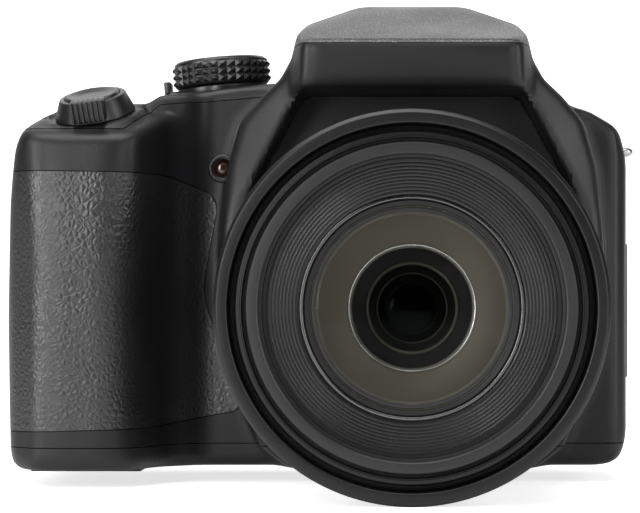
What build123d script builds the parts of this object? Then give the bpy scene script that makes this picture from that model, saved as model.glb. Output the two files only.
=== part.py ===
from build123d import *
import os
from math import cos, pi, radians, sin, tan

# A bridge camera in its own frame: millimetres, +Z up, the lens looks along -Y.
# The origin is the centre of the tripod socket on the base. X is seen from the
# front: the hand grip is on the -X side.

# Overall sizes
BODY_HEIGHT = 94.3
GRIP_SIDE = 83.6
FREE_SIDE = 44.7
BODY_FRONT = 18.0
BODY_BACK = 20.0
GRIP_REACH = 40.0
HUMP_REACH = 50.0
LENS_REACH = 87.2
EYECUP_REACH = 32.0
LENS_HEIGHT = 32.5
DECK_HEIGHT = BODY_HEIGHT * 0.8356
WALL = 2.0

# Shared fits and cuts
OVERRUN = 1.0
SEAM_GAP = 0.25
RUNNING_GAP = 0.08
BUTTON_GAP = 0.15
SMALL_GAP = 0.1

# Hump and the collar around the lens
HUMP_HALF = 26.0
COLLAR_HALF = 38.6
COLLAR_REACH = 33.0
RIDGE_REACH = 17.0
HUMP_UNDERSIDE = BODY_HEIGHT * 0.791
HUMP_BROW = BODY_HEIGHT * 0.8844
HUMP_BACK_HEIGHT = BODY_HEIGHT * 0.96

# Grip
PARTING = 6.0
BASE_DEPTH = 5.0
PLATFORM_TILT = 19.0
PLATFORM_LEAN = 7.5
PLATFORM_HEIGHT = DECK_HEIGHT * 0.9137
RUBBER_SKIN = 1.0

# Lens tubes, radii from the outside in
TRIM_RADIUS = 35.4
TRIM_BORE = 32.9
TRIM_LENGTH = 8.2
TRIM_CHAMFER = 0.65
HOUSING_RADIUS = 33.6
HOUSING_BORE = 32.3
HOUSING_NECK = 30.8
HOUSING_NECK_BORE = 29.7
OUTER_BARREL_RADIUS = 31.7
OUTER_BARREL_BORE = 30.4
INNER_BARREL_RADIUS = 29.6
INNER_BARREL_BORE = 28.2
BARREL_FLANGE = 3.0
OUTER_BARREL_RECESS = 1.2
INNER_BARREL_RECESS = 0.6
FILTER_RADIUS = 27.5
FILTER_DEPTH = 4.4
NAME_RING_BORE = 20.3
NAME_RING_THICKNESS = 1.3
NAME_RING_DISH = 0.5
BULKHEAD = 2.0
GLASS_RADIUS = 18.6
GLASS_EDGE = 3.2
GLASS_CROWN = 1.6
CELL_RADIUS = 19.5
CELL_LENGTH = 14.0
CELL_FLOOR = 1.6
CELL_CONE_RADIUS = 12.0
CAM_RADIUS = 26.5
CAM_BORE = 25.0
CAM_LENGTH = 37.0
HUB_LENGTH = 9.5
HUB_BORE = 18.0
ZOOM_GROUP_LENGTH = 11.0
ZOOM_GROUP_TRAVEL = 14.4
ZOOM_GLASS_RADIUS = 8.2
ZOOM_GLASS_THICKNESS = 4.0
IRIS_THICKNESS = 4.0
IRIS_OPENING = 5.0
REAR_GLASS_THICKNESS = 3.0
REAR_BORE = 12.0
FLANGE_HALF = 35.4
FLANGE_THICKNESS = 3.0
FLANGE_TOP = 67.5

# Mode dial and power lever
DIAL_X = 39.5
DIAL_Y = 2.0
DIAL_TILT = 5.0
DIAL_RADIUS = 10.3
DIAL_HEIGHT = 5.6
DIAL_RISE = 1.9
DIAL_SHAFT = 2.0
DIAL_SHAFT_LENGTH = 8.0
DIAL_TEETH = 35
DIAL_TOOTH_DEPTH = 0.55
LEVER_RADIUS = 9.6
LEVER_THICKNESS = 1.4
LEVER_TAB = 1.6
LEVER_TAB_WIDTH = 5.0
LEVER_TAB_HEIGHT = 3.8
DIAL_BOSS_RADIUS = 4.0
DIAL_PAD_RADIUS = 11.5

# Shutter button and the zoom lever around it
SHUTTER_X = 63.6
SHUTTER_Y = 25.0
SHUTTER_BOSS = 9.4
SHUTTER_BOSS_RISE = 0.4
ZOOM_BASE_RADIUS = 8.1
ZOOM_TOP_RADIUS = 6.7
ZOOM_HEIGHT = 4.0
ZOOM_BORE = 5.65
ZOOM_SLEEVE = 6.4
ZOOM_SLEEVE_LENGTH = 2.6
ZOOM_TAB_WIDTH = 6.8
ZOOM_TAB_REACH = 10.2
ZOOM_TAB_HEIGHT = 5.2
ZOOM_TAB_RIBS = 8
SHUTTER_RADIUS = 5.5
SHUTTER_THICKNESS = 2.2
SHUTTER_STEM = 1.5
SHUTTER_STEM_LENGTH = 7.0

# Push buttons
BUTTON_TRAVEL = 0.5
BUTTON_PROUD = 0.8
BUTTON_RIM = 0.8
BUTTON_RIM_THICKNESS = 0.7
REC_RADIUS = 2.7
REC_BOSS = 3.9
REC_X = 56.0
REC_Y = 5.0
FUNCTION_RADIUS = 2.8
FUNCTION_X = 68.4
FUNCTION_Y = 2.0
DECK_BUTTON_BOSS_RISE = 1.4
REAR_BUTTON_RADIUS = 2.9
PAD_RADIUS = 10.5
PAD_BORE = 4.6
PAD_PROUD = 1.2
SET_RADIUS = 4.4

# Rear dial
REAR_DIAL_RADIUS = 7.5
REAR_DIAL_THICKNESS = 3.6
REAR_DIAL_TEETH = 28
REAR_DIAL_PROUD = 2.6
REAR_DIAL_X = 52.5
REAR_DIAL_DROP = 11.7
REAR_DIAL_AXLE = 1.2

# Flash
FLASH_PIN_Y = 2.0
FLASH_PIN_HEIGHT = HUMP_BROW - WALL * 0.7
FLASH_PIN_RADIUS = 1.0
FLASH_REAR_RADIUS = 14.7
FLASH_ARM_HALF = 14.6
FLASH_ARM_THICKNESS = 2.0
FLASH_ARM_HEIGHT = 2.8
FLASH_EYE = 2.4
FLASH_WINDOW_HALF = 12.0
FLASH_WINDOW_THICKNESS = 1.6
FLASH_BOX_DEPTH = 10.0
FLASH_BOX_FLOOR = HUMP_BROW - WALL * 2.9
FLASH_WINDOW_Y = HUMP_REACH - WALL * 3
FLASH_BUTTON_RADIUS = 1.8
FLASH_BUTTON_HEIGHT = HUMP_BROW - WALL * 0.2
FLASH_BUTTON_Y = 9.0
FLASH_BUTTON_WALL = 3.8

# Viewfinder
FINDER_HALF = 12.5
FINDER_HEIGHT = 14.0
FINDER_FLOOR = DECK_HEIGHT - WALL * 2.8
REAR_DIAL_HEIGHT = FINDER_FLOOR - REAR_DIAL_DROP
FINDER_ROOF = FINDER_FLOOR + FINDER_HEIGHT
FINDER_FRONT = 8.0
FINDER_WALL = 1.5
EYECUP_HALF = 18.5
EYECUP_LOW = FINDER_FLOOR - WALL * 1.6
EYECUP_HIGH = FINDER_ROOF + WALL * 1.2
EYECUP_LIP = 4.0
EYECUP_ROUND = 4.0
EYE_GLASS_THICKNESS = 3.0
DIOPTER_RADIUS = 3.6
DIOPTER_THICKNESS = 3.0
DIOPTER_AXLE = 1.2
DIOPTER_HEIGHT = FINDER_FLOOR + WALL * 2

# Screen and rear controls
SCREEN_LEFT = 25.0
SCREEN_RIGHT = 42.5
SCREEN_LOW = 7.5
SCREEN_HIGH = 61.5
SCREEN_GLASS = 1.2
SCREEN_PANEL = 3.0
SCREEN_BORDER = 2.0
THUMB_PROUD = 2.2

# Inside
BATTERY_WIDTH = 19.5
BATTERY_DEPTH = 34.0
BATTERY_LENGTH = 49.6
BATTERY_X = 65.8
BATTERY_Y = 12.5
BATTERY_FLOOR = 4.0
FRAME_SHEET = 1.0
BOARD_THICKNESS = 1.2
BOARD_GAP = 2.6
CARD_WIDTH = 24.0
CARD_HEIGHT = 32.0
CARD_THICKNESS = 3.4
CAPACITOR_RADIUS = 4.6
CAPACITOR_LENGTH = 26.0
MOTOR_RADIUS = 5.5
MOTOR_LENGTH = 13.0
GEAR_RADIUS = 4.6
GEAR_TEETH = 18
GEAR_TOOTH_DEPTH = 0.7
GEAR_THICKNESS = 3.0
GEAR_PIN = 1.0
SENSOR_WIDTH = 34.0
SENSOR_HEIGHT = 22.0
SENSOR_BOARD = 1.2
SENSOR_CHIP = 12.0
SENSOR_CHIP_THICKNESS = 1.8
SENSOR_POST = 1.8
SENSOR_POST_LENGTH = 7.0

# Base
SOCKET_RADIUS = 3.175
SOCKET_DEPTH = 6.5
SOCKET_FLANGE = 6.0
DOOR_THICKNESS = 2.0
DOOR_LEFT = 75.8
DOOR_RIGHT = 54.0
DOOR_FRONT = 30.2
DOOR_BACK = 5.0
DOOR_PIN_RADIUS = 0.8
DOOR_KNUCKLE = 1.4
DOOR_KNUCKLE_WIDTH = 15.0
DOOR_EAR = 2.0
DOOR_PIN_OFFSET = 1.8
DOOR_SWING_GAP = 0.6
LATCH_WIDTH = 7.0
LATCH_DEPTH = 4.0
LATCH_TRAVEL = 4.0
LATCH_RIM = 1.0
LATCH_Y = 27.0

# Side door, sockets, lugs, lamp and screws
SIDE_DOOR_FRONT = 8.0
SIDE_DOOR_BACK = 4.6
SIDE_DOOR_LOW = 18.0
SIDE_DOOR_HIGH = 46.0
SIDE_DOOR_THICKNESS = 1.4
SOCKET_BLOCK_DEPTH = 6.0
USB_WIDTH = 7.6
USB_HEIGHT = 3.2
HDMI_WIDTH = 6.6
HDMI_HEIGHT = 3.0
LUG_WIRE = 0.8
LUG_SPAN = 7.0
LUG_PROUD = 2.4
LUG_HEIGHT = DECK_HEIGHT * 0.835
LUG_Y = 10.0
LAMP_X = 38.6
LAMP_DROP = 17.9
LAMP_HEIGHT = DECK_HEIGHT - LAMP_DROP
LAMP_RING = 2.9
LAMP_RADIUS = 1.7
SCREW_HEAD = 1.9
SCREW_HEAD_HEIGHT = 0.9
SCREW_SHANK = 0.8
SCREW_LENGTH = 4.6
SCREW_SLOT = 0.5

# Outlines as shares of the sizes named beside them.
# Body front outline: x over the side it lies on, z over DECK_HEIGHT, corner radius over WALL.
BODY_FRONT_SHARES = [
    (-0.964, 0.0, 2.8),
    (1.0, 0.0, 4.0),
    (1.0, 0.80, 4.0),
    (0.94, 0.875, 3.0),
    (0.81, 0.918, 3.0),
    (0.66, 0.945, 2.0),
    (0.55, 1.0, 2.0),
    (-0.325, 1.0, 1.5),
    (-0.609, 0.955, 1.2),
    (-0.678, 0.91, 1.6),
    (-0.895, 0.906, 3.2),
    (-0.944, 0.815, 3.5),
    (-0.970, 0.68, 5.0),
    (-1.0, 0.38, 8.0),
]
# Body top outline: x over the side, y over the reach on that side, corner radius over WALL.
BODY_TOP_SHARES = [
    (1.0, 1.0, 3.4),
    (-0.93, 1.0, 3.6),
    (-1.0, 0.0, 8.0),
    (-0.976, -0.5, 8.0),
    (-0.95, -0.80, 4.5),
    (-0.86, -1.0, 4.5),
    (-0.67, -0.985, 5.5),
    (-0.584, -0.58, 4.5),
    (-0.508, -0.45, 3.0),
    (0.92, -0.45, 0.8),
    (0.97, -0.40, 1.5),
    (1.0, -0.21, 2.5),
]
# Body side outline: y over the reach on that side, z over DECK_HEIGHT, corner radius over WALL.
BODY_SIDE_SHARES = [
    (1.0, 0.0, 1.2),
    (1.0, 1.003, 2.0),
    (-0.55, 1.003, 2.0),
    (-0.93, 0.855, 3.5),
    (-1.0, 0.52, 12.0),
    (-0.97, 0.0, 1.6),
]
# Hump and collar front outline: x over HUMP_HALF, z over BODY_HEIGHT.
HUMP_FRONT_SHARES = [
    (0.40, 1.0),
    (0.80, 0.94),
    (0.855, 0.912),
    (0.90, 0.86),
    (0.985, 0.82),
    (1.13, 0.785),
    (1.30, 0.735),
    (1.40, 0.64),
    (1.48, 0.466),
    (1.42, 0.233),
    (1.17, 0.055),
    (0.92, 0.0),
]
# Hump top outline: half width over HUMP_HALF against reach over HUMP_REACH.
HUMP_TOP_SHARES = [
    (0.79, -1.0),
    (0.90, -0.82),
    (1.28, -0.70),
    (1.485, -0.64),
    (1.485, -0.30),
]
# Front recess under the hump: half width over HUMP_HALF, z over BODY_HEIGHT.
RECESS_SHARES = [
    (0.82, 0.793),
    (1.175, 0.615),
    (1.30, 0.50),
    (1.30, 0.345),
]
# Grip rubber outline: x over GRIP_SIDE, z over DECK_HEIGHT, corner radius over WALL.
RUBBER_SHARES = [
    (-1.02, 0.757, 1.0),
    (-0.589, 0.75, 6.0),
    (-0.469, 0.70, 2.0),
    (-0.510, 0.45, 8.0),
    (-0.411, 0.15, 1.0),
    (-0.609, 0.112, 5.0),
    (-1.02, 0.10, 1.0),
]


def block(x0, x1, y0, y1, z0, z1):
    """A box between two corners."""
    centre = Pos((x0 + x1) / 2, (y0 + y1) / 2, (z0 + z1) / 2)
    return centre * Box(x1 - x0, y1 - y0, z1 - z0)


def polygon(points):
    """A closed straight-sided face through the points."""
    return make_face(Polyline(*points, close=True))


def rounded(corners):
    """A closed face through (across, up, radius) corners."""
    points = [(across, up) for across, up, radius in corners]
    radii = [radius for across, up, radius in corners]
    return make_face(FilletPolyline(*points, radius=radii, close=True))


def along_x(face, x0, x1):
    """A face drawn in (y, z), pulled from x0 to x1."""
    return extrude(Plane.YZ.offset(x0) * face, amount=x1 - x0)


def along_y(face, y0, y1):
    """A face drawn in (x, z), pulled from y0 to y1."""
    return extrude(Plane.XZ.offset(-y1) * face, amount=y1 - y0)


def along_z(face, z0, z1):
    """A face drawn in (x, y), pulled from z0 to z1."""
    return Pos(0, 0, z0) * extrude(face, amount=z1 - z0)


def rod_y(radius, y0, y1, x=0.0, z=LENS_HEIGHT):
    """A round bar along Y, by default on the lens axis."""
    return Pos(x, (y0 + y1) / 2, z) * Rot(90, 0, 0) * Cylinder(radius, y1 - y0)


def tube_y(radius, bore, y0, y1, x=0.0, z=LENS_HEIGHT):
    """A round tube along Y."""
    return rod_y(radius, y0, y1, x, z) - rod_y(bore, y0 - OVERRUN, y1 + OVERRUN, x, z)


def rod_x(radius, x0, x1, y, z):
    """A round bar along X."""
    return Pos((x0 + x1) / 2, y, z) * Rot(0, 90, 0) * Cylinder(radius, x1 - x0)


def rod_z(radius, z0, z1, x=0.0, y=0.0):
    """A round bar along Z."""
    return Pos(x, y, (z0 + z1) / 2) * Cylinder(radius, z1 - z0)


def turned(points, x=0.0, z=LENS_HEIGHT):
    """A body of revolution on the lens axis from (radius, y) points."""
    profile = Pos(0, 0, 0) * polygon(points)
    return Pos(x, 0, z) * revolve(profile, axis=Axis.Y)


def toothed(radius, bore, teeth, depth, thickness):
    """A wheel with shallow vee teeth, standing on z = 0."""
    points = []
    for tooth in range(teeth):
        for step, reach in ((0.0, radius), (0.5, radius - depth)):
            angle = 2 * pi * (tooth + step) / teeth
            points.append((reach * cos(angle), reach * sin(angle)))
    wheel = extrude(polygon(points), amount=thickness)
    if bore > 0:
        wheel -= rod_z(bore, -OVERRUN, thickness + OVERRUN)
    return wheel


def side_x(share):
    """A share of the grip side or of the free side, by its sign."""
    return share * (GRIP_SIDE if share < 0 else FREE_SIDE)


def body_front_face():
    """The body's outline seen from the front, without the hump."""
    return rounded([(side_x(x), z * DECK_HEIGHT, r * WALL) for x, z, r in BODY_FRONT_SHARES])


def body_top_face():
    """The body's outline seen from above, with the grip."""
    corners = []
    for x, y, radius in BODY_TOP_SHARES:
        reach = GRIP_REACH if y < 0 else BODY_BACK
        corners.append((side_x(x), y * reach, radius * WALL))
    return rounded(corners)


def body_side_face():
    """The body's outline seen from the side, with the grip's belly."""
    corners = []
    for y, z, radius in BODY_SIDE_SHARES:
        reach = GRIP_REACH if y < 0 else BODY_BACK
        corners.append((y * reach, z * DECK_HEIGHT, radius * WALL))
    return rounded(corners)


def platform_slope(y):
    """The height of the sloping shutter platform above a place y."""
    start = BODY_FRONT + WALL * 2
    return PLATFORM_HEIGHT + (y + start) * tan(radians(PLATFORM_TILT))


def body_core(inset):
    """The main block of the body with its grip, drawn in by an inset."""
    front = offset(body_front_face(), amount=-inset) if inset else body_front_face()
    top = offset(body_top_face(), amount=-inset) if inset else body_top_face()
    side = offset(body_side_face(), amount=-inset) if inset else body_side_face()
    high = along_y(front, -GRIP_REACH - OVERRUN, BODY_BACK + OVERRUN)
    core = high & along_z(top, 0, BODY_HEIGHT)
    core = core & along_x(side, -GRIP_SIDE - OVERRUN, FREE_SIDE + OVERRUN)
    start = BODY_FRONT + WALL * 2
    end = GRIP_REACH + OVERRUN * 3
    wedge = polygon([
        (-start, platform_slope(-start) - inset),
        (-end, platform_slope(-end) - inset),
        (-end, BODY_HEIGHT),
        (-start, BODY_HEIGHT),
    ])
    core -= along_x(wedge, -GRIP_SIDE - OVERRUN, -COLLAR_HALF)
    return core


def mirrored(shares, width, height):
    """Points of a symmetrical outline from its right half, top to bottom."""
    right = [(x * width, z * height) for x, z in shares]
    left = [(-x, z) for x, z in reversed(right)]
    return right + left


def hump_side_face(inset):
    """The hump and collar seen from the side, drawn in by an inset."""
    face = polygon([
        (-HUMP_REACH + WALL, HUMP_UNDERSIDE),
        (-HUMP_REACH, HUMP_BROW),
        (-RIDGE_REACH, BODY_HEIGHT),
        (-FINDER_FRONT, BODY_HEIGHT),
        (BODY_BACK, HUMP_BACK_HEIGHT),
        (BODY_BACK, LENS_HEIGHT),
        (-BODY_FRONT + WALL, 0),
        (-COLLAR_REACH + WALL * 2, 0),
        (-COLLAR_REACH, LENS_HEIGHT),
        (-COLLAR_REACH - WALL, LENS_HEIGHT + HOUSING_RADIUS * 0.6),
    ])
    return offset(face, amount=-inset) if inset else face


def hump_core(inset):
    """The hump that flows down into a collar around the lens."""
    front = polygon(mirrored(HUMP_FRONT_SHARES, HUMP_HALF, BODY_HEIGHT))
    top_points = [(x * HUMP_HALF, y * HUMP_REACH) for x, y in HUMP_TOP_SHARES]
    right = top_points + [(top_points[-1][0], BODY_BACK)]
    left = [(-x, y) for x, y in reversed(right)]
    top = polygon(right + left)
    if inset:
        front = offset(front, amount=-inset)
        top = offset(top, amount=-inset)
    core = along_y(front, -HUMP_REACH, BODY_BACK)
    core = core & along_z(top, 0, BODY_HEIGHT)
    core = core & along_x(hump_side_face(inset), -COLLAR_HALF - WALL, COLLAR_HALF + WALL)
    return core


def recess(grow):
    """The space under the hump and around the lens, grown by a wall."""
    points = mirrored(RECESS_SHARES, HUMP_HALF, BODY_HEIGHT)
    face = polygon(points)
    if grow:
        face = offset(face, amount=grow, kind=Kind.INTERSECTION)
    pocket = along_y(face, -HUMP_REACH - OVERRUN, -COLLAR_REACH + WALL * 2 + grow)
    ring = rod_y(HOUSING_RADIUS + SMALL_GAP + grow, -HUMP_REACH - OVERRUN, -COLLAR_REACH + WALL * 2 + grow)
    return pocket + ring


def body_solid(inset):
    """The closed body, drawn in by an inset: the walls lie between two of these."""
    return body_core(inset) + hump_core(inset) - recess(inset)


def rubber_prism(inset):
    """A block that holds the grip rubber's outline, from the front to behind the side."""
    corners = [(x * GRIP_SIDE, z * DECK_HEIGHT, r * WALL) for x, z, r in RUBBER_SHARES]
    face = rounded(corners)
    if inset:
        face = offset(face, amount=-inset)
    return along_y(face, -GRIP_REACH - OVERRUN, 0)


def top_region():
    """The space above the seam of the top cover."""
    low = DECK_HEIGHT * 0.862
    face = polygon([
        (-GRIP_SIDE - OVERRUN, low),
        (-DIAL_X - DIAL_PAD_RADIUS - WALL * 3, low),
        (-DIAL_X - DIAL_PAD_RADIUS, DECK_HEIGHT - WALL * 2.6),
        (-HUMP_HALF - WALL, DECK_HEIGHT - WALL * 1.6),
        (-HUMP_HALF - WALL, BODY_HEIGHT),
        (-GRIP_SIDE - OVERRUN, BODY_HEIGHT),
    ])
    return along_y(face, -GRIP_REACH - OVERRUN, BODY_BACK + OVERRUN)


def flash_region():
    """The space of the flash lid: above the brow and in front of the rear arc."""
    front = -HUMP_REACH - OVERRUN
    slab = block(-HUMP_HALF - WALL, HUMP_HALF + WALL, front, FLASH_PIN_Y, HUMP_BROW, BODY_HEIGHT + OVERRUN)
    arc = rod_x(FLASH_REAR_RADIUS, -HUMP_HALF * 2, HUMP_HALF * 2, -FLASH_PIN_Y, FLASH_PIN_HEIGHT)
    behind = block(-HUMP_HALF * 2, HUMP_HALF * 2, -FLASH_PIN_Y, BODY_BACK, HUMP_BROW, BODY_HEIGHT + OVERRUN)
    return slab - arc - behind


def flash_clearance():
    """The flash lid's space with its seam."""
    front = -HUMP_REACH - OVERRUN
    low = HUMP_BROW - SEAM_GAP
    slab = block(-HUMP_HALF - WALL, HUMP_HALF + WALL, front, FLASH_PIN_Y, low, BODY_HEIGHT + OVERRUN)
    radius = FLASH_REAR_RADIUS - SEAM_GAP
    arc = rod_x(radius, -HUMP_HALF * 2, HUMP_HALF * 2, -FLASH_PIN_Y, FLASH_PIN_HEIGHT)
    behind = block(-HUMP_HALF * 2, HUMP_HALF * 2, -FLASH_PIN_Y, BODY_BACK, low, BODY_HEIGHT + OVERRUN)
    return slab - arc - behind


# Places of the tilted controls on the deck
def deck_height_at(x):
    """The deck's height between its two upper corners on the grip side."""
    left = (-0.609 * GRIP_SIDE, 0.955 * DECK_HEIGHT)
    right = (-0.325 * GRIP_SIDE, DECK_HEIGHT)
    return left[1] + (x - left[0]) * (right[1] - left[1]) / (right[0] - left[0])


DIAL_PLACE = Pos(-DIAL_X, -DIAL_Y, deck_height_at(-DIAL_X)) * Rot(0, -DIAL_TILT, 0)
SHUTTER_PLACE = (
    Pos(-SHUTTER_X, -SHUTTER_Y, platform_slope(-SHUTTER_Y) + SHUTTER_BOSS_RISE)
    * Rot(PLATFORM_TILT, -PLATFORM_LEAN, 0)
)
PLATFORM_TOP = 0.912 * DECK_HEIGHT
SHUTTER_FLOOR = ZOOM_SLEEVE_LENGTH + SEAM_GAP * 2
REC_PLACE = Pos(-REC_X, -REC_Y, PLATFORM_TOP + DECK_BUTTON_BOSS_RISE)
FUNCTION_PLACE = Pos(-FUNCTION_X, -FUNCTION_Y, PLATFORM_TOP + DECK_BUTTON_BOSS_RISE)


def push_button(radius, wall=WALL, proud=BUTTON_PROUD):
    """A button along +Z: its face is proud of z = 0 and a rim holds it behind the wall."""
    cap = rod_z(radius, -wall - BUTTON_RIM_THICKNESS, proud)
    rim = rod_z(radius + BUTTON_RIM, -wall - BUTTON_RIM_THICKNESS, -wall - SMALL_GAP / 2)
    return cap + rim


def button_hole(radius):
    """The hole for a push button along +Z."""
    return rod_z(radius + BUTTON_GAP, -WALL * 3, WALL * 3)


DECK_BUTTON_WALL = DECK_BUTTON_BOSS_RISE + WALL * 1.3


def facing_back(x, z):
    """The place of a rear control, whose +Z points backwards."""
    return Pos(x, BODY_BACK, z) * Rot(-90, 0, 0)


REAR_BUTTONS = {
    "lock_button": (-(SCREEN_LEFT + REAR_BUTTON_RADIUS * 4.6), DECK_HEIGHT * 0.86),
    "play_button": (-(SCREEN_LEFT + REAR_BUTTON_RADIUS * 2.6), DECK_HEIGHT * 0.71),
    "display_button": (-(SCREEN_LEFT + REAR_BUTTON_RADIUS * 3.4), DECK_HEIGHT * 0.145),
    "delete_button": (-(SCREEN_LEFT + REAR_BUTTON_RADIUS * 11.4), DECK_HEIGHT * 0.145),
    "finder_button": (EYECUP_HALF + REAR_BUTTON_RADIUS * 2.4, DECK_HEIGHT * 0.875),
}
PAD_X = -(SCREEN_LEFT + PAD_RADIUS + REAR_BUTTON_RADIUS * 4.2)
PAD_HEIGHT = LENS_HEIGHT
SWITCH_BOARD_BACK = BODY_BACK - WALL - BUTTON_RIM_THICKNESS - BUTTON_TRAVEL - SMALL_GAP


def cover_cuts():
    """Everything that is cut through the covers for controls, lens and windows."""
    cuts = [rod_y(HOUSING_NECK + SMALL_GAP, -HUMP_REACH, -BODY_FRONT + WALL * 2)]
    cuts.append(DIAL_PLACE * rod_z(DIAL_SHAFT + RUNNING_GAP, -WALL * 5, WALL * 3))
    cuts.append(SHUTTER_PLACE * rod_z(ZOOM_SLEEVE + RUNNING_GAP, -SHUTTER_FLOOR, WALL))
    cuts.append(SHUTTER_PLACE * rod_z(SHUTTER_STEM + RUNNING_GAP, -SHUTTER_FLOOR * 3, WALL))
    cuts.append(REC_PLACE * button_hole(REC_RADIUS))
    cuts.append(FUNCTION_PLACE * button_hole(FUNCTION_RADIUS))
    for x, z in REAR_BUTTONS.values():
        cuts.append(facing_back(x, z) * button_hole(REAR_BUTTON_RADIUS))
    cuts.append(facing_back(PAD_X, PAD_HEIGHT) * button_hole(PAD_RADIUS))
    cuts.append(screen_pocket())
    cuts.append(finder_opening())
    cuts.append(rear_dial_slot())
    cuts.append(side_door_opening())
    cuts.extend(lug_holes())
    cuts.append(lamp_hole())
    cuts.append(flash_button_hole())
    cuts.append(diopter_slot())
    return cuts


def screen_pocket():
    """The stepped opening for the screen and its window."""
    glass = block(-SCREEN_LEFT - SMALL_GAP, SCREEN_RIGHT + SMALL_GAP, BODY_BACK - SCREEN_GLASS,
                  BODY_BACK + OVERRUN,
                  SCREEN_LOW - SMALL_GAP, SCREEN_HIGH + SMALL_GAP)
    panel = block(-SCREEN_LEFT + SCREEN_BORDER, SCREEN_RIGHT - SCREEN_BORDER,
                  BODY_BACK - WALL - OVERRUN, BODY_BACK,
                  SCREEN_LOW + SCREEN_BORDER, SCREEN_HIGH - SCREEN_BORDER)
    return glass + panel


def finder_opening():
    """The opening for the viewfinder tube in the back."""
    return block(-FINDER_HALF - SMALL_GAP, FINDER_HALF + SMALL_GAP, BODY_BACK - WALL * 2,
                 BODY_BACK + OVERRUN,
                 FINDER_FLOOR - SMALL_GAP, FINDER_ROOF + SMALL_GAP)


REAR_DIAL_PLACE = Pos(-REAR_DIAL_X, BODY_BACK + REAR_DIAL_PROUD - REAR_DIAL_RADIUS, REAR_DIAL_HEIGHT)


def rear_dial_slot():
    """The slot that the rear dial looks out of."""
    half = REAR_DIAL_THICKNESS / 2 + BUTTON_GAP * 2
    return REAR_DIAL_PLACE * rod_z(REAR_DIAL_RADIUS + BUTTON_GAP * 2, -half, half)


def side_door_opening():
    """The opening behind the side door, with a ledge that the door rests on."""
    door = block(FREE_SIDE - SIDE_DOOR_THICKNESS, FREE_SIDE + OVERRUN, -SIDE_DOOR_FRONT - BUTTON_GAP,
                 SIDE_DOOR_BACK + BUTTON_GAP, SIDE_DOOR_LOW - BUTTON_GAP, SIDE_DOOR_HIGH + BUTTON_GAP)
    way = block(FREE_SIDE - WALL - OVERRUN, FREE_SIDE, -SIDE_DOOR_FRONT + WALL / 2,
                SIDE_DOOR_BACK - WALL / 2,
                SIDE_DOOR_LOW + WALL / 2, SIDE_DOOR_HIGH - WALL / 2)
    return door + way


def lug_walls():
    """Where the outer faces of the two side walls lie at the strap lugs."""
    high, low = BODY_FRONT_SHARES[-4], BODY_FRONT_SHARES[-3]
    climb = (LUG_HEIGHT / DECK_HEIGHT - low[1]) / (high[1] - low[1])
    return side_x(low[0] + (high[0] - low[0]) * climb), FREE_SIDE


def lug_holes():
    """Four small holes for the ends of the strap lugs."""
    left, right = lug_walls()
    holes = []
    for y in (LUG_Y - LUG_SPAN / 2, LUG_Y + LUG_SPAN / 2):
        for wall in (left, right):
            holes.append(rod_x(LUG_WIRE + SMALL_GAP / 2, wall - WALL * 2, wall + WALL * 2, y, LUG_HEIGHT))
    return holes


def lamp_hole():
    """The hole for the focus lamp beside the collar."""
    radius = LAMP_RING + SMALL_GAP / 2
    return rod_y(radius, -COLLAR_REACH - WALL * 2, -BODY_FRONT + WALL * 2, -LAMP_X, LAMP_HEIGHT)


FLASH_BUTTON_PLACE = Pos(-HUMP_HALF * 0.905, FLASH_BUTTON_Y, FLASH_BUTTON_HEIGHT) * Rot(0, -90, 0)


def flash_button_hole():
    """The hole for the flash button in the side of the hump."""
    return FLASH_BUTTON_PLACE * rod_z(FLASH_BUTTON_RADIUS + BUTTON_GAP, -WALL * 3, WALL * 2)


DIOPTER_X = -EYECUP_HALF - DIOPTER_RADIUS - SEAM_GAP * 2
DIOPTER_FLOOR = BODY_BACK - DIOPTER_THICKNESS / 2


def diopter_slot():
    """The round well of the diopter dial beside the eyepiece, with its axle hole."""
    well = rod_y(DIOPTER_RADIUS + BUTTON_GAP, DIOPTER_FLOOR, BODY_BACK + OVERRUN, DIOPTER_X, DIOPTER_HEIGHT)
    axle = rod_y(DIOPTER_AXLE + RUNNING_GAP, BODY_BACK - WALL * 2, BODY_BACK, DIOPTER_X, DIOPTER_HEIGHT)
    return well + axle


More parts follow.
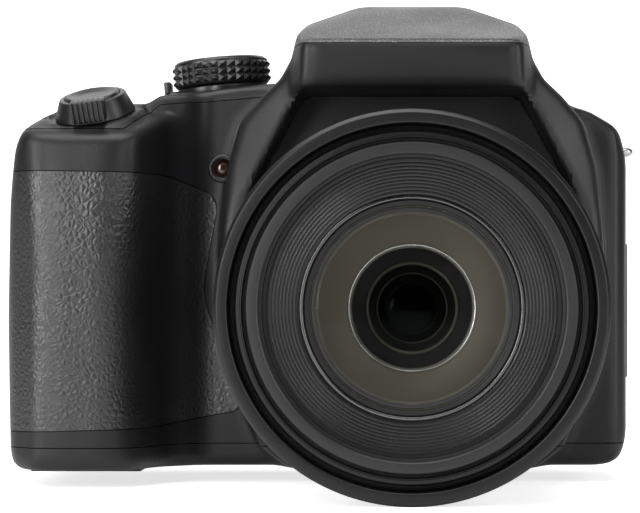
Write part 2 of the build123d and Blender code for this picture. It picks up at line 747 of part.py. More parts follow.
def covers():
    """The body's walls, split into covers, grip rubber and flash lid."""
    outer = body_solid(0)
    inner = body_solid(WALL)
    skin = body_solid(RUBBER_SKIN)
    dial_pad = DIAL_PLACE * rod_z(DIAL_PAD_RADIUS, -WALL, SMALL_GAP)
    dial_boss = DIAL_PLACE * rod_z(DIAL_BOSS_RADIUS, -WALL, LEVER_THICKNESS + SMALL_GAP * 2)
    shutter_boss = SHUTTER_PLACE * rod_z(SHUTTER_BOSS, -SHUTTER_FLOOR - WALL, 0)
    rec_boss = REC_PLACE * rod_z(REC_BOSS, -DECK_BUTTON_BOSS_RISE - WALL / 2, 0)
    function_boss = FUNCTION_PLACE * rod_z(REC_BOSS, -DECK_BUTTON_BOSS_RISE - WALL / 2, 0)
    shell = outer - inner
    shell -= DIAL_PLACE * rod_z(DIAL_RADIUS + SEAM_GAP * 2, SMALL_GAP, DIAL_RISE + DIAL_HEIGHT)
    shell -= SHUTTER_PLACE * rod_z(SHUTTER_BOSS, 0, ZOOM_HEIGHT)
    shell += dial_pad + dial_boss + shutter_boss + rec_boss + function_boss
    for cut in cover_cuts():
        shell -= cut
    high = DECK_HEIGHT * 2
    top = shell & top_region()
    rest = shell - top_region()
    lid = rest & flash_region()
    rest -= flash_clearance()
    wide = GRIP_SIDE * 2
    base = rest & block(-wide, wide, -GRIP_REACH * 2, BODY_BACK * 2, -OVERRUN, BASE_DEPTH)
    rest -= block(-wide, wide, -GRIP_REACH * 2, BODY_BACK * 2, -OVERRUN, BASE_DEPTH)
    rear = rest & block(-wide, wide, PARTING, BODY_BACK * 2, 0, high)
    front = rest & block(-wide, wide, -HUMP_REACH * 2, PARTING, 0, high)
    rubber = (outer - skin) & rubber_prism(SEAM_GAP)
    rubber = rubber & block(-wide, -WALL, -GRIP_REACH * 2, PARTING, BASE_DEPTH, high)
    front = front - ((outer - skin) & rubber_prism(0))
    return {"front_cover": front, "rear_cover": rear, "top_cover": top, "base_cover": base,
            "flash_lid": lid, "grip_rubber": rubber}


# Places along the lens axis, from the front to the back
TRIM_BACK = -LENS_REACH + TRIM_LENGTH
HOUSING_SHOULDER = -COLLAR_REACH + WALL * 2 - SMALL_GAP
FLANGE_FRONT = -BODY_FRONT + WALL
FLANGE_BACK = FLANGE_FRONT + FLANGE_THICKNESS
OUTER_FRONT = -LENS_REACH + OUTER_BARREL_RECESS
OUTER_BACK = HOUSING_SHOULDER - WALL * 3.45
INNER_FRONT = -LENS_REACH + INNER_BARREL_RECESS
INNER_BACK = OUTER_BACK - BARREL_FLANGE - WALL * 0.8
BULKHEAD_BACK = INNER_FRONT + FILTER_DEPTH + BULKHEAD * 2
BULKHEAD_FRONT = BULKHEAD_BACK - BULKHEAD
CAM_BACK = FLANGE_FRONT - SMALL_GAP
CAM_FRONT = CAM_BACK - CAM_LENGTH
HUB_FRONT = FLANGE_FRONT - HUB_LENGTH
ZOOM_BACK = HUB_FRONT - SEAM_GAP - ZOOM_GROUP_TRAVEL
ZOOM_FRONT = ZOOM_BACK - ZOOM_GROUP_LENGTH
GLASS_SEAT = BULKHEAD_FRONT + GLASS_EDGE


def lens_trim_ring():
    """The wide black ring around the mouth of the lens."""
    return turned([
        (TRIM_BORE, -LENS_REACH),
        (TRIM_RADIUS - TRIM_CHAMFER, -LENS_REACH),
        (TRIM_RADIUS, -LENS_REACH + TRIM_CHAMFER),
        (TRIM_RADIUS, TRIM_BACK - TRIM_CHAMFER),
        (TRIM_RADIUS - TRIM_CHAMFER, TRIM_BACK),
        (TRIM_BORE, TRIM_BACK),
    ])


def lens_housing():
    """The fixed tube of the lens with its neck, flange, hub and sensor posts."""
    lip_bore = OUTER_BARREL_RADIUS + RUNNING_GAP
    lip_back = TRIM_BACK + BARREL_FLANGE
    web = HOUSING_SHOULDER - WALL
    hub_radius = CAM_BORE - RUNNING_GAP
    body = turned([
        (lip_bore, TRIM_BACK),
        (HOUSING_RADIUS, TRIM_BACK),
        (HOUSING_RADIUS, HOUSING_SHOULDER),
        (HOUSING_NECK, HOUSING_SHOULDER),
        (HOUSING_NECK, FLANGE_BACK),
        (REAR_BORE, FLANGE_BACK),
        (REAR_BORE, FLANGE_FRONT - SMALL_GAP),
        (HUB_BORE, FLANGE_FRONT - SMALL_GAP),
        (HUB_BORE, HUB_FRONT),
        (hub_radius, HUB_FRONT),
        (hub_radius, FLANGE_FRONT),
        (HOUSING_NECK_BORE, FLANGE_FRONT),
        (HOUSING_NECK_BORE, web),
        (HOUSING_BORE, web),
        (HOUSING_BORE, lip_back),
        (lip_bore, lip_back),
    ])
    flange = block(-FLANGE_HALF, FLANGE_HALF, FLANGE_FRONT, FLANGE_BACK, BASE_DEPTH + SEAM_GAP, FLANGE_TOP)
    flange -= rod_y(REAR_BORE, FLANGE_FRONT - OVERRUN, FLANGE_BACK + OVERRUN)
    body += flange
    for x in (-SENSOR_POST_X, SENSOR_POST_X):
        body += rod_y(SENSOR_POST, FLANGE_BACK, SENSOR_FACE, x)
    body += rod_y(GEAR_PIN, FLANGE_BACK, FLANGE_BACK + GEAR_THICKNESS + SEAM_GAP * 4, MOTOR_X, GEAR_Z)
    return body


SENSOR_FACE = FLANGE_BACK + SENSOR_POST_LENGTH
SENSOR_POST_X = REAR_BORE + SENSOR_POST + SEAM_GAP * 2
MOTOR_X = HOUSING_NECK * 0.72
MOTOR_Z = LENS_HEIGHT + HOUSING_NECK * 0.78
GEAR_Z = MOTOR_Z - MOTOR_RADIUS - GEAR_RADIUS - SEAM_GAP * 2


def outer_barrel():
    """The outer sliding tube: a rear flange in the housing and a front lip."""
    lip = OUTER_FRONT + OUTER_BARREL_RECESS * 2
    lip_bore = INNER_BARREL_RADIUS + RUNNING_GAP
    return turned([
        (OUTER_BARREL_BORE, OUTER_FRONT),
        (OUTER_BARREL_RADIUS, OUTER_FRONT),
        (OUTER_BARREL_RADIUS, OUTER_BACK - BARREL_FLANGE),
        (HOUSING_BORE - RUNNING_GAP, OUTER_BACK - BARREL_FLANGE),
        (HOUSING_BORE - RUNNING_GAP, OUTER_BACK),
        (OUTER_BARREL_BORE, OUTER_BACK),
        (OUTER_BARREL_BORE, lip + WALL),
        (lip_bore, lip + WALL),
        (lip_bore, lip),
        (OUTER_BARREL_BORE, lip),
    ])


def inner_barrel():
    """The inner sliding tube: the filter thread, a bulkhead for the glass and a rear flange."""
    seat = FILTER_RADIUS - SEAM_GAP * 2
    cell_bore = CELL_RADIUS + SMALL_GAP / 2
    return turned([
        (FILTER_RADIUS, INNER_FRONT),
        (INNER_BARREL_RADIUS, INNER_FRONT),
        (INNER_BARREL_RADIUS, INNER_BACK - BARREL_FLANGE),
        (OUTER_BARREL_BORE - RUNNING_GAP, INNER_BACK - BARREL_FLANGE),
        (OUTER_BARREL_BORE - RUNNING_GAP, INNER_BACK),
        (INNER_BARREL_BORE, INNER_BACK),
        (INNER_BARREL_BORE, BULKHEAD_BACK),
        (cell_bore, BULKHEAD_BACK),
        (cell_bore, BULKHEAD_FRONT),
        (seat, BULKHEAD_FRONT),
        (seat, INNER_FRONT + FILTER_DEPTH),
        (FILTER_RADIUS, INNER_FRONT + FILTER_DEPTH),
    ])


def name_ring():
    """The dished ring around the front glass."""
    outer = FILTER_RADIUS - SEAM_GAP * 2 - SMALL_GAP
    front = BULKHEAD_FRONT - NAME_RING_THICKNESS
    return turned([
        (NAME_RING_BORE, front),
        (outer, front - NAME_RING_DISH),
        (outer, BULKHEAD_FRONT),
        (NAME_RING_BORE, BULKHEAD_FRONT),
    ])


def retaining_ring():
    """The bright thin ring between the name ring and the front glass cell."""
    bore = CELL_RADIUS + SMALL_GAP / 2
    return tube_y(NAME_RING_BORE - SMALL_GAP / 2, bore, BULKHEAD_FRONT - BULKHEAD, BULKHEAD_FRONT)


def lens_glass(radius, front, edge, crown, back_crown):
    """A lens: a round edge with a bulging front and a bulging or flat back."""
    disc = rod_y(radius, front, front + edge)
    for bulge, face, way in ((crown, front, 1), (back_crown, front + edge, -1)):
        if bulge > 0:
            ball = (radius * radius + bulge * bulge) / (2 * bulge)
            centre = face + way * (ball - bulge)
            cap = Pos(0, centre, LENS_HEIGHT) * Sphere(ball)
            ends = sorted((face, face - way * bulge))
            disc += cap & rod_y(radius, ends[0] - SMALL_GAP / 2, ends[1] + SMALL_GAP / 2)
    return disc


def front_element():
    """The large front glass."""
    return lens_glass(GLASS_RADIUS, GLASS_SEAT - GLASS_EDGE, GLASS_EDGE, GLASS_CROWN, 0)


def front_cell():
    """The black cell of the front glass, whose cone narrows behind it."""
    bore = GLASS_RADIUS + SMALL_GAP / 2
    back = GLASS_SEAT + CELL_LENGTH
    ledge = GLASS_RADIUS - CELL_FLOOR
    return turned([
        (bore, GLASS_SEAT - GLASS_EDGE),
        (CELL_RADIUS, GLASS_SEAT - GLASS_EDGE),
        (CELL_RADIUS, back),
        (CELL_CONE_RADIUS, back),
        (CELL_CONE_RADIUS, GLASS_SEAT + CELL_FLOOR * 3),
        (ledge, GLASS_SEAT),
        (bore, GLASS_SEAT),
    ])


def zoom_group():
    """The black cell that slides inside the cam tube."""
    cell = rod_y(CAM_BORE - RUNNING_GAP, ZOOM_FRONT, ZOOM_BACK)
    cell -= rod_y(ZOOM_GLASS_RADIUS + SMALL_GAP / 2, ZOOM_FRONT - OVERRUN,
                  ZOOM_FRONT + ZOOM_GLASS_THICKNESS)
    cell -= rod_y(ZOOM_GLASS_RADIUS - CELL_FLOOR, ZOOM_FRONT, ZOOM_BACK + OVERRUN)
    return cell


def zoom_glass():
    """The small glass in the sliding cell."""
    edge = ZOOM_GLASS_THICKNESS - GLASS_CROWN
    return lens_glass(ZOOM_GLASS_RADIUS, ZOOM_FRONT + GLASS_CROWN, edge, GLASS_CROWN, 0)


def iris_unit():
    """The iris and shutter unit in the hub."""
    back = FLANGE_FRONT - SMALL_GAP
    return tube_y(HUB_BORE - SMALL_GAP, IRIS_OPENING, back - IRIS_THICKNESS, back)


def rear_glass():
    """The rear glass in the flange."""
    return rod_y(REAR_BORE - SMALL_GAP, FLANGE_FRONT, FLANGE_FRONT + REAR_GLASS_THICKNESS)


def cam_tube():
    """The cam tube that turns on the hub and drives the barrels."""
    return tube_y(CAM_RADIUS, CAM_BORE, CAM_FRONT, CAM_BACK)


def zoom_motor():
    """The zoom motor on the back of the flange."""
    return rod_y(MOTOR_RADIUS, FLANGE_BACK, FLANGE_BACK + MOTOR_LENGTH, MOTOR_X, MOTOR_Z)


def zoom_gear():
    """The last wheel of the zoom motor's gear train, on a pin of the flange."""
    wheel = toothed(GEAR_RADIUS, GEAR_PIN + RUNNING_GAP, GEAR_TEETH, GEAR_TOOTH_DEPTH, GEAR_THICKNESS)
    start = FLANGE_BACK + SEAM_GAP + GEAR_THICKNESS
    return Pos(MOTOR_X, start, GEAR_Z) * Rot(90, 0, 0) * wheel


def image_sensor():
    """The sensor chip on its board, on two posts of the lens."""
    board = block(-SENSOR_WIDTH / 2, SENSOR_WIDTH / 2, SENSOR_FACE, SENSOR_FACE + SENSOR_BOARD,
                  LENS_HEIGHT - SENSOR_HEIGHT / 2, LENS_HEIGHT + SENSOR_HEIGHT / 2)
    chip = block(-SENSOR_CHIP / 2, SENSOR_CHIP / 2, SENSOR_FACE - SENSOR_CHIP_THICKNESS, SENSOR_FACE,
                 LENS_HEIGHT - SENSOR_CHIP / 2, LENS_HEIGHT + SENSOR_CHIP / 2)
    return board + chip


BATTERY_SLACK = SEAM_GAP
BATTERY_LOW_X = -BATTERY_X - BATTERY_WIDTH / 2
BATTERY_HIGH_X = -BATTERY_X + BATTERY_WIDTH / 2
BATTERY_LOW_Y = -BATTERY_Y - BATTERY_DEPTH / 2
BATTERY_HIGH_Y = -BATTERY_Y + BATTERY_DEPTH / 2
BATTERY_TOP = BATTERY_FLOOR + BATTERY_LENGTH
BAY_EDGE = BATTERY_HIGH_X + BATTERY_SLACK + FRAME_SHEET
PLATE_BACK = BATTERY_HIGH_Y + BATTERY_SLACK + FRAME_SHEET
PLATE_FRONT = PLATE_BACK - FRAME_SHEET
BOARD_FRONT = PLATE_BACK + BOARD_GAP
BOARD_HALF = SOCKET_FLANGE * 3


def battery():
    """The battery block in the grip."""
    return block(BATTERY_LOW_X, BATTERY_HIGH_X, BATTERY_LOW_Y, BATTERY_HIGH_Y, BATTERY_FLOOR, BATTERY_TOP)


def main_frame():
    """The sheet frame: the battery bay, the upright plate and the foot on the socket."""
    slack = BATTERY_SLACK
    sheet = BATTERY_SLACK + FRAME_SHEET
    low = BASE_DEPTH + SEAM_GAP
    bay = block(BATTERY_LOW_X - sheet, BATTERY_HIGH_X + sheet, BATTERY_LOW_Y - sheet,
                BATTERY_HIGH_Y + sheet,
                low, BATTERY_TOP + sheet)
    bay -= block(BATTERY_LOW_X - slack, BATTERY_HIGH_X + slack, BATTERY_LOW_Y - slack,
                 BATTERY_HIGH_Y + slack,
                 low - OVERRUN, BATTERY_TOP + slack)
    right = FREE_SIDE - WALL * 3.5
    plate = block(BAY_EDGE - FRAME_SHEET, right, PLATE_FRONT, PLATE_BACK, low, FLANGE_TOP)
    foot_z = WALL + SOCKET_RIM
    foot = block(-BOARD_HALF, BOARD_HALF, -SOCKET_FLANGE - WALL, PLATE_BACK, foot_z, foot_z + FRAME_SHEET)
    foot += block(-BOARD_HALF, BOARD_HALF, PLATE_FRONT, PLATE_BACK, foot_z, low + FRAME_SHEET)
    foot -= rod_z(SOCKET_TUBE + SMALL_GAP, -OVERRUN, BASE_DEPTH * 2)
    frame = bay + plate + foot
    for x in (-BOARD_HALF, BOARD_HALF):
        for z in (LENS_HEIGHT / 2, LENS_HEIGHT * 1.6):
            frame += rod_y(WALL * 0.75, PLATE_BACK, BOARD_FRONT, x, z)
    return frame


SOCKET_RIM = 1.5
SOCKET_TUBE = SOCKET_RADIUS + SOCKET_RIM


def circuit_boards():
    """The main board behind the frame and the switch board behind the rear controls."""
    right = FREE_SIDE - WALL * 4.5
    main = block(-BOARD_HALF - WALL, right, BOARD_FRONT, BOARD_FRONT + BOARD_THICKNESS,
                 BASE_DEPTH + WALL, FLANGE_TOP)
    switch = block(-GRIP_SIDE * 0.9, -SCREEN_LEFT - WALL, SWITCH_BOARD_BACK - BOARD_THICKNESS,
                   SWITCH_BOARD_BACK,
                   BASE_DEPTH + WALL, DIAL_EAR_LOW - SEAM_GAP)
    return main, switch


def card_slot():
    """The memory card's metal cage beside the battery bay."""
    x0 = BAY_EDGE
    y1 = PLATE_FRONT - SEAM_GAP
    y0 = y1 - CARD_WIDTH - FRAME_SHEET
    low = BASE_DEPTH + SEAM_GAP
    cage = block(x0, x0 + CARD_THICKNESS, y0, y1, low, low + CARD_HEIGHT)
    wall = FRAME_SHEET / 2
    cage -= block(x0 + wall, x0 + CARD_THICKNESS - wall, y0 + wall, y1 - wall, low - OVERRUN,
                  low + CARD_HEIGHT - wall)
    return cage


def flash_capacitor():
    """The flash's storage capacitor, upright against the frame."""
    x = BAY_EDGE + CARD_THICKNESS + CAPACITOR_RADIUS
    top = BATTERY_TOP + WALL * 3
    return rod_z(CAPACITOR_RADIUS, top - CAPACITOR_LENGTH, top, x,
                 PLATE_FRONT - CAPACITOR_RADIUS - SMALL_GAP)


def finder_tube():
    """The viewfinder's tube from the hump to the back."""
    tube = block(-FINDER_HALF, FINDER_HALF, -FINDER_FRONT, BODY_BACK, FINDER_FLOOR, FINDER_ROOF)
    wall = FINDER_WALL
    tube -= block(-FINDER_HALF + wall, FINDER_HALF - wall, -FINDER_FRONT + wall, BODY_BACK + OVERRUN,
                  FINDER_FLOOR + wall, FINDER_ROOF - wall)
    for x0, x1 in flash_pin_spans():
        tube -= rod_x(FLASH_PIN_RADIUS, x0, x1, -FLASH_PIN_Y, FLASH_PIN_HEIGHT)
    return tube


def flash_pin_spans():
    """The two short pins of the flash, from the viewfinder tube out through the arms."""
    inner = FINDER_HALF - FINDER_WALL
    outer = FLASH_ARM_HALF + FLASH_ARM_THICKNESS
    return (-outer, -inner), (inner, outer)


def flash_pins():
    """The two short hinge pins of the flash."""
    spans = flash_pin_spans()
    return [rod_x(FLASH_PIN_RADIUS, x0, x1, -FLASH_PIN_Y, FLASH_PIN_HEIGHT) for x0, x1 in spans]


def eyepiece_lens():
    """The viewfinder's eyepiece glass."""
    gap = FINDER_WALL + SMALL_GAP
    back = BODY_BACK - SMALL_GAP * 5
    return block(-FINDER_HALF + gap, FINDER_HALF - gap, back - EYE_GLASS_THICKNESS, back,
                 FINDER_FLOOR + gap, FINDER_ROOF - gap)


def eyecup():
    """The soft eyecup with its hollow."""
    outer = rounded([
        (-EYECUP_HALF, EYECUP_LOW, EYECUP_ROUND),
        (EYECUP_HALF, EYECUP_LOW, EYECUP_ROUND),
        (EYECUP_HALF, EYECUP_HIGH, EYECUP_ROUND),
        (-EYECUP_HALF, EYECUP_HIGH, EYECUP_ROUND),
    ])
    hollow = offset(outer, amount=-EYECUP_LIP)
    cup = along_y(outer, BODY_BACK, EYECUP_REACH)
    return cup - along_y(hollow, BODY_BACK - OVERRUN, EYECUP_REACH + OVERRUN)


def diopter_dial():
    """The small ribbed dial beside the eyepiece."""
    wheel = toothed(DIOPTER_RADIUS, 0, DIAL_TEETH // 2, DIAL_TOOTH_DEPTH / 2, DIOPTER_THICKNESS)
    start = DIOPTER_FLOOR + SMALL_GAP + DIOPTER_THICKNESS
    knob = Pos(DIOPTER_X, start, DIOPTER_HEIGHT) * Rot(90, 0, 0) * wheel
    axle = rod_y(DIOPTER_AXLE, BODY_BACK - WALL * 1.5, DIOPTER_FLOOR + SEAM_GAP, DIOPTER_X, DIOPTER_HEIGHT)
    return knob + axle


def flash_arms():
    """The two arms under the flash lid, with their eyes on the pins."""
    half = FLASH_ARM_HEIGHT / 2
    rear = -FLASH_PIN_Y
    web = rear - FLASH_REAR_RADIUS - WALL
    arm = polygon([
        (rear, FLASH_PIN_HEIGHT - half),
        (rear, FLASH_PIN_HEIGHT + half),
        (web, FLASH_PIN_HEIGHT - half * 1.5),
        (web - WALL, BODY_HEIGHT),
        (web - WALL * 4, BODY_HEIGHT),
        (web - WALL * 4, FLASH_PIN_HEIGHT - half * 3.2),
        (web, FLASH_PIN_HEIGHT - half * 3.2),
    ])
    arms = []
    for x0 in (-FLASH_ARM_HALF - FLASH_ARM_THICKNESS / 2, FLASH_ARM_HALF - FLASH_ARM_THICKNESS / 2):
        x1 = x0 + FLASH_ARM_THICKNESS
        piece = along_x(arm, x0, x1) + rod_x(FLASH_EYE, x0, x1, rear, FLASH_PIN_HEIGHT)
        bore = rod_x(FLASH_PIN_RADIUS + RUNNING_GAP, x0 - OVERRUN, x1 + OVERRUN, rear, FLASH_PIN_HEIGHT)
        arms.append(piece - bore)
    return arms


def flash_house():
    """The flash tube's housing that hangs under the lid."""
    y0 = -FLASH_WINDOW_Y + FLASH_WINDOW_THICKNESS
    half = FLASH_WINDOW_HALF + WALL / 2
    return block(-half, half, y0, y0 + FLASH_BOX_DEPTH, FLASH_BOX_FLOOR, HUMP_BROW + WALL * 0.9)


def flash_window():
    """The clear window in front of the flash tube."""
    return block(-FLASH_WINDOW_HALF, FLASH_WINDOW_HALF, -FLASH_WINDOW_Y,
                 -FLASH_WINDOW_Y + FLASH_WINDOW_THICKNESS,
                 FLASH_BOX_FLOOR + SEAM_GAP, HUMP_BROW)


def flash_button():
    """The button that frees the flash, in the side of the hump."""
    return FLASH_BUTTON_PLACE * push_button(FLASH_BUTTON_RADIUS, FLASH_BUTTON_WALL, BUTTON_PROUD * 1.5)


def mode_dial():
    """The knurled mode dial with its shaft."""
    wheel = toothed(DIAL_RADIUS, 0, DIAL_TEETH, DIAL_TOOTH_DEPTH, DIAL_HEIGHT)
    dial = Pos(0, 0, DIAL_RISE) * wheel
    dial += rod_z(DIAL_RADIUS * 0.82, DIAL_RISE + DIAL_HEIGHT - OVERRUN, DIAL_RISE + DIAL_HEIGHT + SEAM_GAP)
    dial += rod_z(DIAL_SHAFT, -DIAL_SHAFT_LENGTH, DIAL_RISE + OVERRUN)
    return DIAL_PLACE * dial


def power_lever():
    """The power lever, a ring under the mode dial with a tab at its side."""
    ring = rod_z(LEVER_RADIUS, SMALL_GAP * 2, LEVER_THICKNESS + SMALL_GAP * 2)
    reach = DIAL_RADIUS + SEAM_GAP
    half = LEVER_TAB_WIDTH / 2
    ring += block(-reach - LEVER_TAB, -LEVER_RADIUS + OVERRUN * 2, -half, half, SMALL_GAP * 2,
                  LEVER_THICKNESS + SMALL_GAP * 2)
    ring += block(-reach - LEVER_TAB, -reach, -half, half, SMALL_GAP * 2, LEVER_TAB_HEIGHT)
    ring -= rod_z(DIAL_BOSS_RADIUS + RUNNING_GAP, -OVERRUN, LEVER_TAB_HEIGHT)
    return DIAL_PLACE * ring


def zoom_lever():
    """The conical zoom lever around the shutter button, with its ribbed tab."""
    height = ZOOM_HEIGHT - SMALL_GAP
    cone = Pos(0, 0, SMALL_GAP + height / 2) * Cone(ZOOM_BASE_RADIUS, ZOOM_TOP_RADIUS, height)
    cone += rod_z(ZOOM_SLEEVE, -ZOOM_SLEEVE_LENGTH, OVERRUN)
    half = ZOOM_TAB_WIDTH / 2
    foot = SEAM_GAP * 3
    cone += block(-half, half, -ZOOM_TAB_REACH + WALL / 2, -ZOOM_TOP_RADIUS + WALL / 2, foot,
                  ZOOM_TAB_HEIGHT)
    pitch = ZOOM_TAB_WIDTH / ZOOM_TAB_RIBS
    for rib in range(ZOOM_TAB_RIBS):
        x = -half + rib * pitch
        cone += block(x, x + pitch / 2, -ZOOM_TAB_REACH, -ZOOM_TOP_RADIUS, foot, ZOOM_TAB_HEIGHT)
    cone -= rod_z(ZOOM_BORE, -ZOOM_SLEEVE_LENGTH - OVERRUN, ZOOM_TAB_HEIGHT + OVERRUN)
    return SHUTTER_PLACE * cone


def shutter_button():
    """The shutter button with its stem in the platform's guide."""
    top = ZOOM_HEIGHT + SEAM_GAP * 2
    button = rod_z(SHUTTER_RADIUS, top - SHUTTER_THICKNESS, top)
    button += rod_z(SHUTTER_STEM, -SHUTTER_STEM_LENGTH, top - SHUTTER_THICKNESS + SMALL_GAP)
    return SHUTTER_PLACE * button


DIAL_EAR_LOW = REAR_DIAL_HEIGHT - REAR_DIAL_THICKNESS / 2 - SEAM_GAP - WALL


def rear_dial():
    """The rear dial, a toothed wheel on an upright axle."""
    half = REAR_DIAL_THICKNESS / 2
    wheel = Pos(0, 0, -half) * toothed(REAR_DIAL_RADIUS, 0, REAR_DIAL_TEETH, DIAL_TOOTH_DEPTH,
                                       REAR_DIAL_THICKNESS)
    return REAR_DIAL_PLACE * (wheel + rod_z(REAR_DIAL_AXLE, -half - WALL, half + WALL))


def rear_dial_ears():
    """The two ears inside the back that carry the rear dial's axle."""
    half = REAR_DIAL_THICKNESS / 2 + SEAM_GAP
    width = REAR_DIAL_AXLE + WALL
    back = BODY_BACK - WALL / 2 - REAR_DIAL_PLACE.position.Y
    ears = None
    for low, high in ((-half - WALL, -half), (half, half + WALL)):
        ear = block(-width, width, -width, back, low, high)
        ear -= rod_z(REAR_DIAL_AXLE + RUNNING_GAP, low - OVERRUN, high + OVERRUN)
        ears = ear if ears is None else ears + ear
    return REAR_DIAL_PLACE * ears


def cursor_pad():
    """The round four-way pad around the set button."""
    pad = push_button(PAD_RADIUS, WALL, PAD_PROUD)
    pad -= rod_z(PAD_BORE, -WALL * 3, WALL * 3)
    return facing_back(PAD_X, PAD_HEIGHT) * pad


def set_button():
    """The set button in the middle of the pad."""
    low = -WALL - BUTTON_RIM_THICKNESS
    return facing_back(PAD_X, PAD_HEIGHT) * rod_z(SET_RADIUS, low, BUTTON_PROUD)


def thumb_rest():
    """The rubber rest for the thumb on the back."""
    right = -REAR_DIAL_X - REAR_DIAL_RADIUS - WALL * 2
    left = -GRIP_SIDE * 0.93 + WALL * 3.6
    pad = rounded([
        (left, LENS_HEIGHT, WALL * 0.8),
        (right - WALL, LENS_HEIGHT, WALL * 1.1),
        (right, DIAL_EAR_LOW - WALL, WALL * 1.5),
        (left, DIAL_EAR_LOW, WALL),
    ])
    return along_y(pad, BODY_BACK, BODY_BACK + THUMB_PROUD)


def screen_window():
    """The screen's cover glass, flush with the back."""
    return block(-SCREEN_LEFT, SCREEN_RIGHT, BODY_BACK - SCREEN_GLASS, BODY_BACK, SCREEN_LOW, SCREEN_HIGH)


def screen_panel():
    """The screen's panel behind its glass."""
    gap = SCREEN_BORDER + SMALL_GAP
    back = BODY_BACK - SCREEN_GLASS
    return block(-SCREEN_LEFT + gap, SCREEN_RIGHT - gap, back - SCREEN_PANEL, back, SCREEN_LOW + gap,
                 SCREEN_HIGH - gap)


def tripod_socket():
    """The metal tripod bush with its flange inside the base."""
    bush = rod_z(SOCKET_TUBE, 0, SOCKET_DEPTH) + rod_z(SOCKET_FLANGE, WALL, WALL + SOCKET_RIM)
    return bush - rod_z(SOCKET_RADIUS, -OVERRUN, SOCKET_DEPTH + OVERRUN)


DOOR_PIN_Y = DOOR_BACK + DOOR_PIN_OFFSET
DOOR_PIN_Z = DOOR_KNUCKLE + SMALL_GAP
KNUCKLE_MIDDLE = -(DOOR_LEFT + DOOR_RIGHT) / 2
KNUCKLE_LOW = KNUCKLE_MIDDLE - DOOR_KNUCKLE_WIDTH / 2
KNUCKLE_HIGH = KNUCKLE_MIDDLE + DOOR_KNUCKLE_WIDTH / 2


def battery_door():
    """The door under the battery and the card, with its hinge knuckle."""
    door = block(-DOOR_LEFT, -DOOR_RIGHT, -DOOR_FRONT, DOOR_BACK - DOOR_SWING_GAP, 0, DOOR_THICKNESS)
    knuckle = rod_x(DOOR_KNUCKLE, KNUCKLE_LOW, KNUCKLE_HIGH, DOOR_PIN_Y, DOOR_PIN_Z)
    knuckle += block(KNUCKLE_LOW, KNUCKLE_HIGH, DOOR_BACK - OVERRUN, DOOR_PIN_Y, SMALL_GAP, DOOR_THICKNESS)
    door += knuckle
    door -= rod_x(DOOR_PIN_RADIUS + RUNNING_GAP, KNUCKLE_LOW - OVERRUN, KNUCKLE_HIGH + OVERRUN,
                  DOOR_PIN_Y, DOOR_PIN_Z)
    x = KNUCKLE_MIDDLE
    door -= block(x - LATCH_WIDTH / 2 - BUTTON_GAP, x + LATCH_WIDTH / 2 + LATCH_TRAVEL + BUTTON_GAP,
                  -LATCH_Y - LATCH_DEPTH / 2 - BUTTON_GAP, -LATCH_Y + LATCH_DEPTH / 2 + BUTTON_GAP,
                  -OVERRUN, DOOR_THICKNESS + OVERRUN)
    return door


def battery_door_pin():
    """The hinge pin of the battery door."""
    return rod_x(DOOR_PIN_RADIUS, KNUCKLE_LOW - DOOR_EAR, KNUCKLE_HIGH + DOOR_EAR, DOOR_PIN_Y, DOOR_PIN_Z)


def battery_latch():
    """The sliding latch in the battery door, with a rim above the door."""
    x = KNUCKLE_MIDDLE
    half_x, half_y = LATCH_WIDTH / 2, LATCH_DEPTH / 2
    top = DOOR_THICKNESS + SMALL_GAP / 2
    latch = block(x - half_x, x + half_x, -LATCH_Y - half_y, -LATCH_Y + half_y, SEAM_GAP, top)
    rim = block(x - half_x - LATCH_RIM, x + half_x + LATCH_RIM, -LATCH_Y - half_y - LATCH_RIM,
                -LATCH_Y + half_y + LATCH_RIM, top, top + LATCH_RIM * 0.8)
    return latch + rim


def base_with_fittings(base):
    """The base cover with its openings, hinge ears and screw holes."""
    gap = BUTTON_GAP
    base -= block(-DOOR_LEFT - gap, -DOOR_RIGHT + gap, -DOOR_FRONT - gap, DOOR_BACK + gap, -OVERRUN,
                  BASE_DEPTH + OVERRUN)
    back = DOOR_PIN_Y + DOOR_KNUCKLE + gap
    base -= block(KNUCKLE_LOW - gap, KNUCKLE_HIGH + gap, DOOR_BACK, back, -OVERRUN, BASE_DEPTH)
    for x0, x1 in ((KNUCKLE_LOW - gap - DOOR_EAR, KNUCKLE_LOW - gap), (KNUCKLE_HIGH + gap,
                                                                       KNUCKLE_HIGH + gap + DOOR_EAR)):
        base += block(x0, x1, DOOR_BACK + gap, back, 0, DOOR_PIN_Z * 2)
    base -= rod_x(DOOR_PIN_RADIUS, KNUCKLE_LOW - DOOR_EAR, KNUCKLE_HIGH + DOOR_EAR, DOOR_PIN_Y, DOOR_PIN_Z)
    base -= rod_z(SOCKET_TUBE, -OVERRUN, BASE_DEPTH)
    base -= rod_y(HOUSING_NECK + SEAM_GAP, HOUSING_SHOULDER, FLANGE_BACK)
    for x, y in screw_places():
        base -= rod_z(SCREW_HEAD + gap, -OVERRUN, SCREW_RECESS + SCREW_HEAD_HEIGHT, x, y)
        base -= rod_z(SCREW_SHANK + SMALL_GAP / 2, -OVERRUN, BASE_DEPTH, x, y)
    return base


SCREW_RECESS = SEAM_GAP


def screw_places():
    """Where the four screws of the base stand."""
    back = BODY_BACK - WALL * 3.5
    front = -BODY_FRONT + WALL * 5
    right = FREE_SIDE - WALL * 4
    return (-SCREEN_LEFT * 1.6, back), (0, back), (right, back), (right, front)


